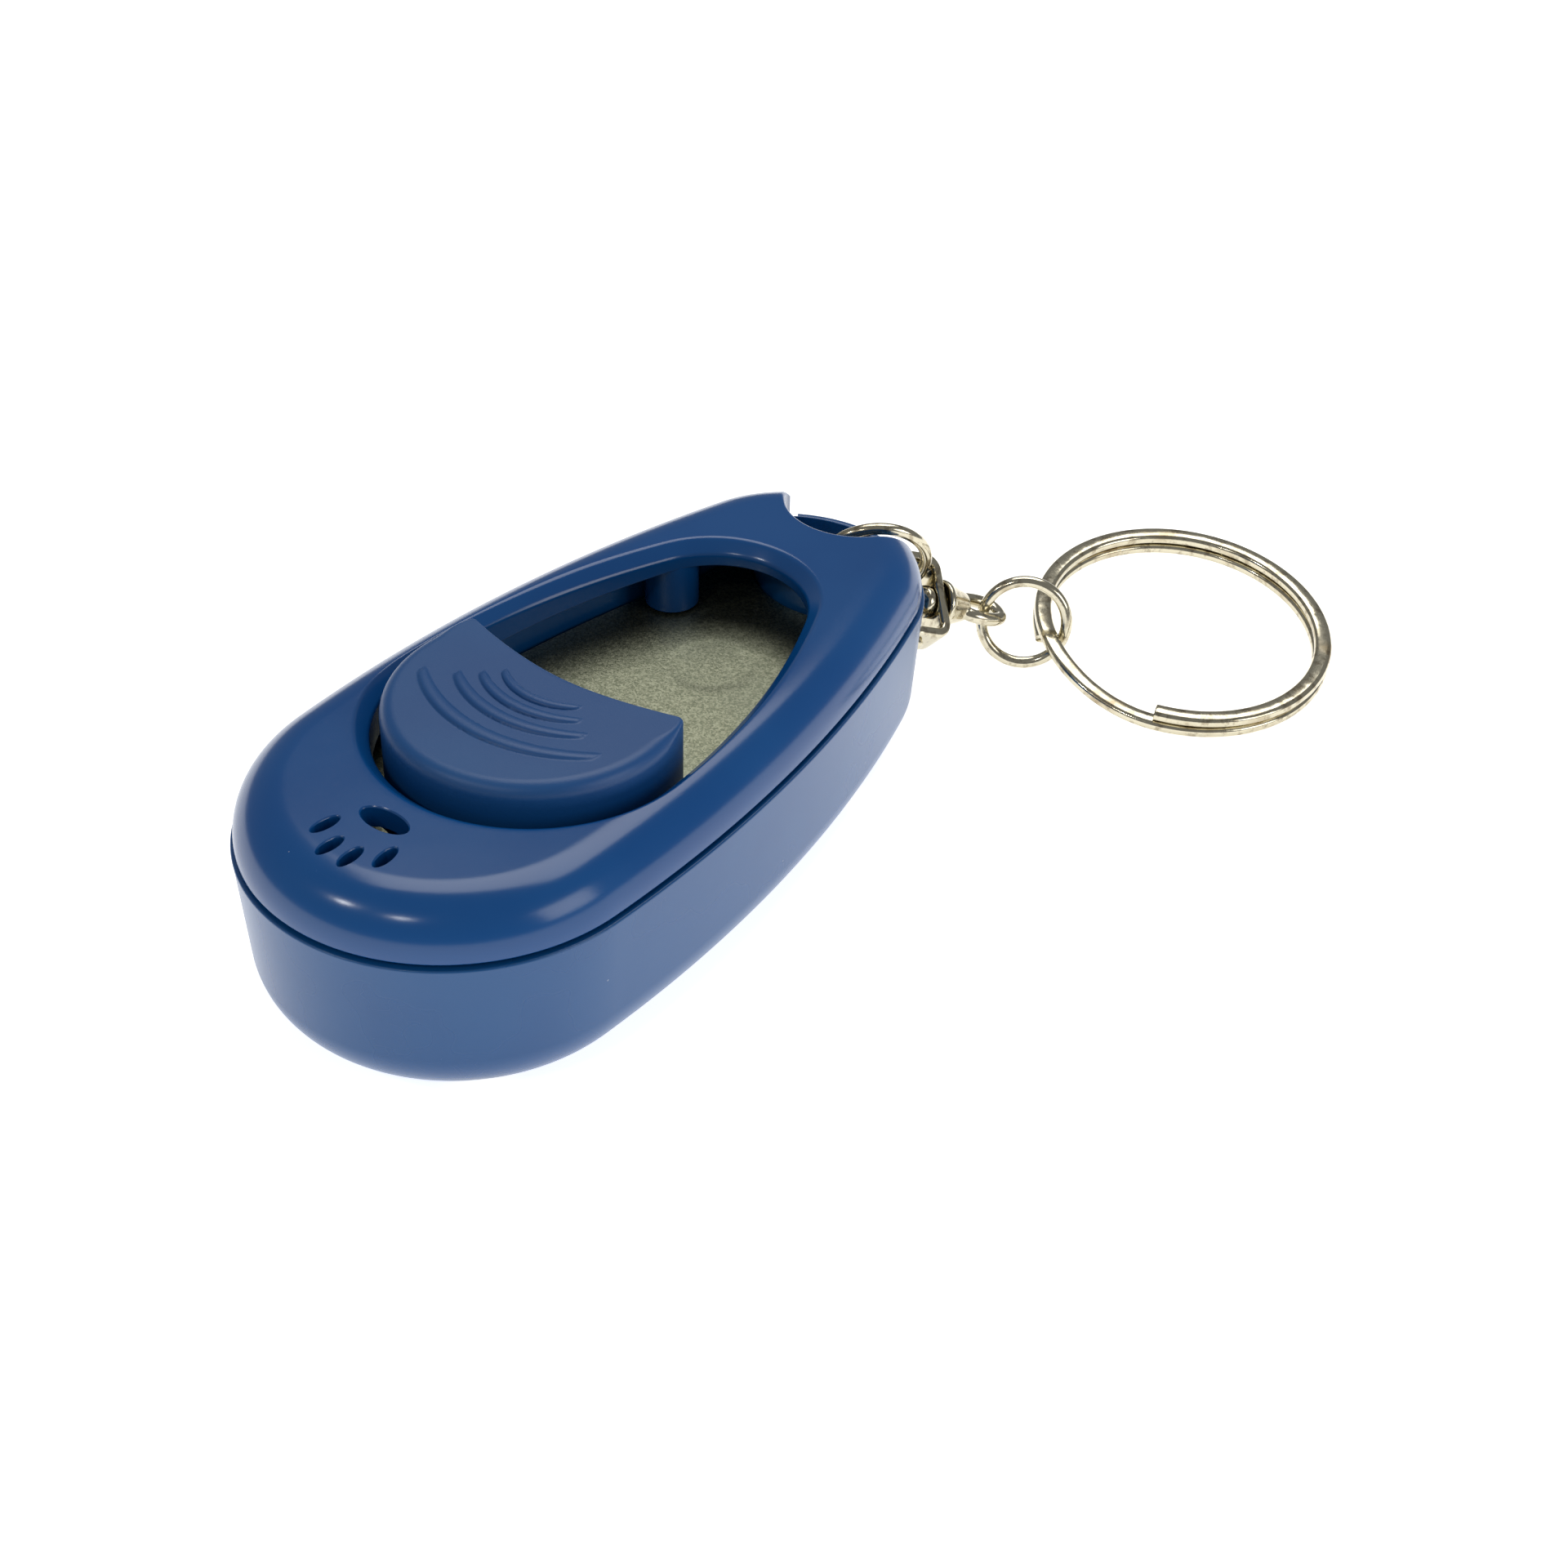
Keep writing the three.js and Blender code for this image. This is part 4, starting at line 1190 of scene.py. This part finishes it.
def swivel_yoke():
    """A flat strip bent to a U: straight arms with round ends, two tight bends and a straight base."""
    local = swivel_frame()
    arm = YOKE_SPREAD / 2
    bend = 1.1
    tip = -PIN_RADIUS - ARM_PAST_PIN
    corner = YOKE_REACH - bend
    arm_x = np.linspace(tip, corner, 26)[:-1]
    turn = quarter(14)
    xs = np.concatenate([arm_x, corner + bend * np.sin(turn)])
    zs = np.concatenate([np.full(25, arm), arm - bend * (1 - np.cos(turn))])
    path = np.stack([xs, 0 * xs, zs], axis=1)
    base = np.stack([np.full(11, YOKE_REACH), np.zeros(11), np.linspace(arm - bend, 0, 12)[1:]], axis=1)
    half = np.concatenate([path, base])
    path = np.concatenate([half, half[-2::-1] * (1, 1, -1)])
    tangent = np.gradient(path, axis=0)
    tangent /= np.linalg.norm(tangent, axis=1)[:, None]
    wide_way = np.broadcast_to([0.0, 1.0, 0.0], path.shape)
    thick_way = np.cross(tangent, wide_way)
    from_end = np.minimum(np.arange(len(path)), np.arange(len(path))[::-1]) * (corner - tip) / 25
    round_end = YOKE_WIDTH / 2
    into = np.clip(1 - from_end / round_end, 0, 1)
    half_width = round_end * np.sqrt(np.maximum(1 - into**2, 0.02))
    section = oval_section(1, YOKE_SHEET / 2, 36, 5.0)
    rings = sweep(path, wide_way * half_width[:, None], thick_way, section)
    yoke = loft("yoke", set_in(local, rings), sharp=40)
    past = 4.6  # well outside the arms
    hole = PIN_RADIUS + TIGHT_GAP
    bore = revolve("tool", [(0, -past), (hole, -past), (hole, past), (0, past)], count=32)
    place_mesh(bore, local)
    yoke = combine(yoke, "DIFFERENCE", bore, sharp=40)
    return finish_piece(yoke, "swivel_yoke_strip", NICKEL, "swivel", ["swivel_yoke"])


def place_mesh(obj, local):
    """Moves a mesh made in a piece's own frame into the part's frame."""
    points = np.empty(len(obj.data.vertices) * 3)
    obj.data.vertices.foreach_get("co", points)
    placed = set_in(local, points.reshape(-1, 3) / MM) * MM
    obj.data.vertices.foreach_set("co", placed.ravel())
    obj.data.update()


def yoke_pin():
    """A pin with a low domed head at each end."""
    outer = YOKE_SPREAD / 2 + YOKE_SHEET / 2 + TIGHT_GAP
    rim_share = 0.35  # of the head's height is its straight rim, the rest its dome
    dome = []
    for angle in quarter(8):
        lift = PIN_HEAD_HEIGHT * (rim_share + (1 - rim_share) * math.sin(angle))
        dome.append((PIN_HEAD_RADIUS * math.cos(angle), outer + lift))
    side = [(PIN_RADIUS, 0), (PIN_RADIUS, outer), (PIN_HEAD_RADIUS, outer), *dome]
    profile = [(radius, -height) for radius, height in side[:0:-1]] + side[1:]
    pin = revolve("pin", profile)
    place_mesh(pin, swivel_frame())
    return finish_piece(pin, "yoke_hinge_pin", NICKEL, "swivel", ["yoke_pin"])


def swivel_eye():
    """A riveted stem, a flanged cone and a flat oval eye, run together like one casting.

    The turned part is a profile about x; the eye is a round wire along a closed superellipse. A
    fine voxel skin joins them and a few smoothing steps fill the corners between.
    """
    inside = YOKE_REACH - YOKE_SHEET / 2 - TIGHT_GAP
    outside = YOKE_REACH + YOKE_SHEET / 2 + TIGHT_GAP
    cone = 2.6
    rivet = 1.4
    flange = 2.1
    bevel = 0.1
    flange_top = 0.52
    dome = [(rivet * math.cos(a), inside - 0.35 - 0.75 * math.sin(a)) for a in quarter(8)[::-1]]
    profile = [
        *dome,
        (rivet, inside),
        (STEM_RADIUS, inside),
        (STEM_RADIUS, outside),
        (flange - bevel, outside),
        (flange, outside + bevel),
        (flange, outside + flange_top - bevel),
        (flange - bevel, outside + flange_top),
        (1.25, outside + cone),
        (0, outside + cone),
    ]
    turned = revolve("eye", profile)
    turned.data.transform(Matrix.Rotation(math.pi / 2, 4, "Y"))
    half_width = 1.55
    start = outside + cone * 0.62 + EYE_WIRE / 2
    stop = YOKE_REACH + EYE_REACH
    long = (stop - start) / 2
    shape = oval_section(long, half_width, 96, 2.5)
    path = np.stack([shape[:, 0] + (start + stop) / 2, shape[:, 1], 0 * shape[:, 0]], axis=1)
    tangent = np.roll(path, -1, 0) - np.roll(path, 1, 0)
    tangent /= np.linalg.norm(tangent, axis=1)[:, None]
    up = np.broadcast_to([0.0, 0.0, 1.0], path.shape)
    rings = sweep(path, np.cross(tangent, up), up, oval_section(EYE_WIRE / 2, EYE_WIRE / 2, 24))
    eye = combine(turned, "UNION", loft("tool", rings, closed=True))
    place_mesh(eye, eye_frame())
    skin = eye.modifiers.new("skin", "REMESH")
    skin.mode = "VOXEL"
    skin.voxel_size = 0.07 * MM
    soften = eye.modifiers.new("soften", "SMOOTH")
    soften.iterations = 6
    soften.factor = 0.6
    apply_modifiers(eye)
    eye.data.shade_smooth()
    return finish_piece(eye, "swivel_eye_casting", NICKEL, "eye", ["swivel_eye"])


def key_chain():
    """Every piece of the chain."""
    jump_ring("lug_jump_ring", "lug_ring", "lug_ring", LUG_RADIUS, LUG_WIRE, LUG_SLIT)
    swivel_yoke()
    yoke_pin()
    swivel_eye()
    jump_ring("link_jump_ring", "link_ring", "link_ring", LINK_RADIUS, LINK_WIRE, LINK_SLIT)
    split_ring()


# ---------------------------------------------------------------- floor, light and camera


def white_floor():
    """A wide plain floor just under the part."""
    low = cad_box[0][2]
    half = 1.5
    points = np.array([(-half, -half, low), (half, -half, low), (half, half, low), (-half, half, low)]) / MM
    floor = new_object("floor", points, [[0, 1, 2, 3]])
    finish = Finish("white_floor", Roughness=0.9)
    cloud = finish.noise(120.0, 2.0)
    finish.feed("Base Color", finish.blend(cloud, (0.9, 0.9, 0.9, 1), (0.93, 0.93, 0.93, 1)))
    finish.shader.inputs["Emission Color"].default_value = (1, 1, 1, 1)
    finish.shader.inputs["Emission Strength"].default_value = 0.8
    floor.data.materials.append(finish.material)


def soft_light(name, place, size, power, aim=(0, 0, 0.01)):
    """A rectangular soft light at place that faces aim. Places and sizes are in metres."""
    data = bpy.data.lights.new(name, "AREA")
    data.shape = "RECTANGLE"
    data.size = size[0]
    data.size_y = size[1]
    data.energy = power
    light = bpy.data.objects.new(name, data)
    light.location = place
    light.rotation_euler = (Vector(aim) - Vector(place)).to_track_quat("-Z", "Y").to_euler()
    bpy.context.scene.collection.objects.link(light)


def studio():
    """Plain soft light: a pale surround, a large light overhead, one at the side, two in front."""
    world = bpy.data.worlds.new("surround")
    bpy.context.scene.world = world
    world.use_nodes = True
    world.node_tree.nodes["Background"].inputs["Color"].default_value = (0.95, 0.97, 1, 1)
    world.node_tree.nodes["Background"].inputs["Strength"].default_value = 0.24
    soft_light("overhead", (-0.15, 0.35, 0.75), (0.7, 0.5), 3.4)
    soft_light("side", (0.8, 0.1, 0.35), (0.4, 0.4), 1.5)
    soft_light("front_left", (-0.25, -0.55, 0.55), (0.05, 0.03), 0.5)
    soft_light("front_right", (0.1, -0.6, 0.6), (0.09, 0.015), 0.4)


def camera():
    """A level-headed camera with a small roll, at the viewing angle of a table-top shot."""
    azimuth = math.radians(36.3107)
    elevation = math.radians(37.5009)
    roll = math.radians(1.654)
    back = Vector((
        math.sin(azimuth) * math.cos(elevation),
        -math.cos(azimuth) * math.cos(elevation),
        math.sin(elevation),
    ))
    level_right = Vector((math.cos(azimuth), math.sin(azimuth), 0))
    level_up = back.cross(level_right)
    right = level_right * math.cos(roll) + level_up * math.sin(roll)
    up = back.cross(right)
    turn = Matrix((right, up, back)).transposed().to_4x4()
    data = bpy.data.cameras.new("camera")
    data.lens = 59.65
    data.sensor_width = 36
    data.clip_start = 0.01
    view = bpy.data.objects.new("camera", data)
    view.matrix_world = Matrix.Translation(Vector((0.10452, -0.12001, 0.12902))) @ turn
    bpy.context.scene.collection.objects.link(view)
    bpy.context.scene.camera = view
    bpy.context.scene.view_settings.view_transform = "Standard"


# ---------------------------------------------------------------- whole scene

lower_tray()
top_cover()
click_plate()
thumb_button()
push_nut("button_push_nut_left", -STAKE_X)
push_nut("button_push_nut_right", STAKE_X)
for screw_name, screw_x, screw_y in screw_places():
    case_screw(screw_name, screw_x, screw_y)
key_chain()
white_floor()
studio()
camera()

bpy.context.view_layer.update()
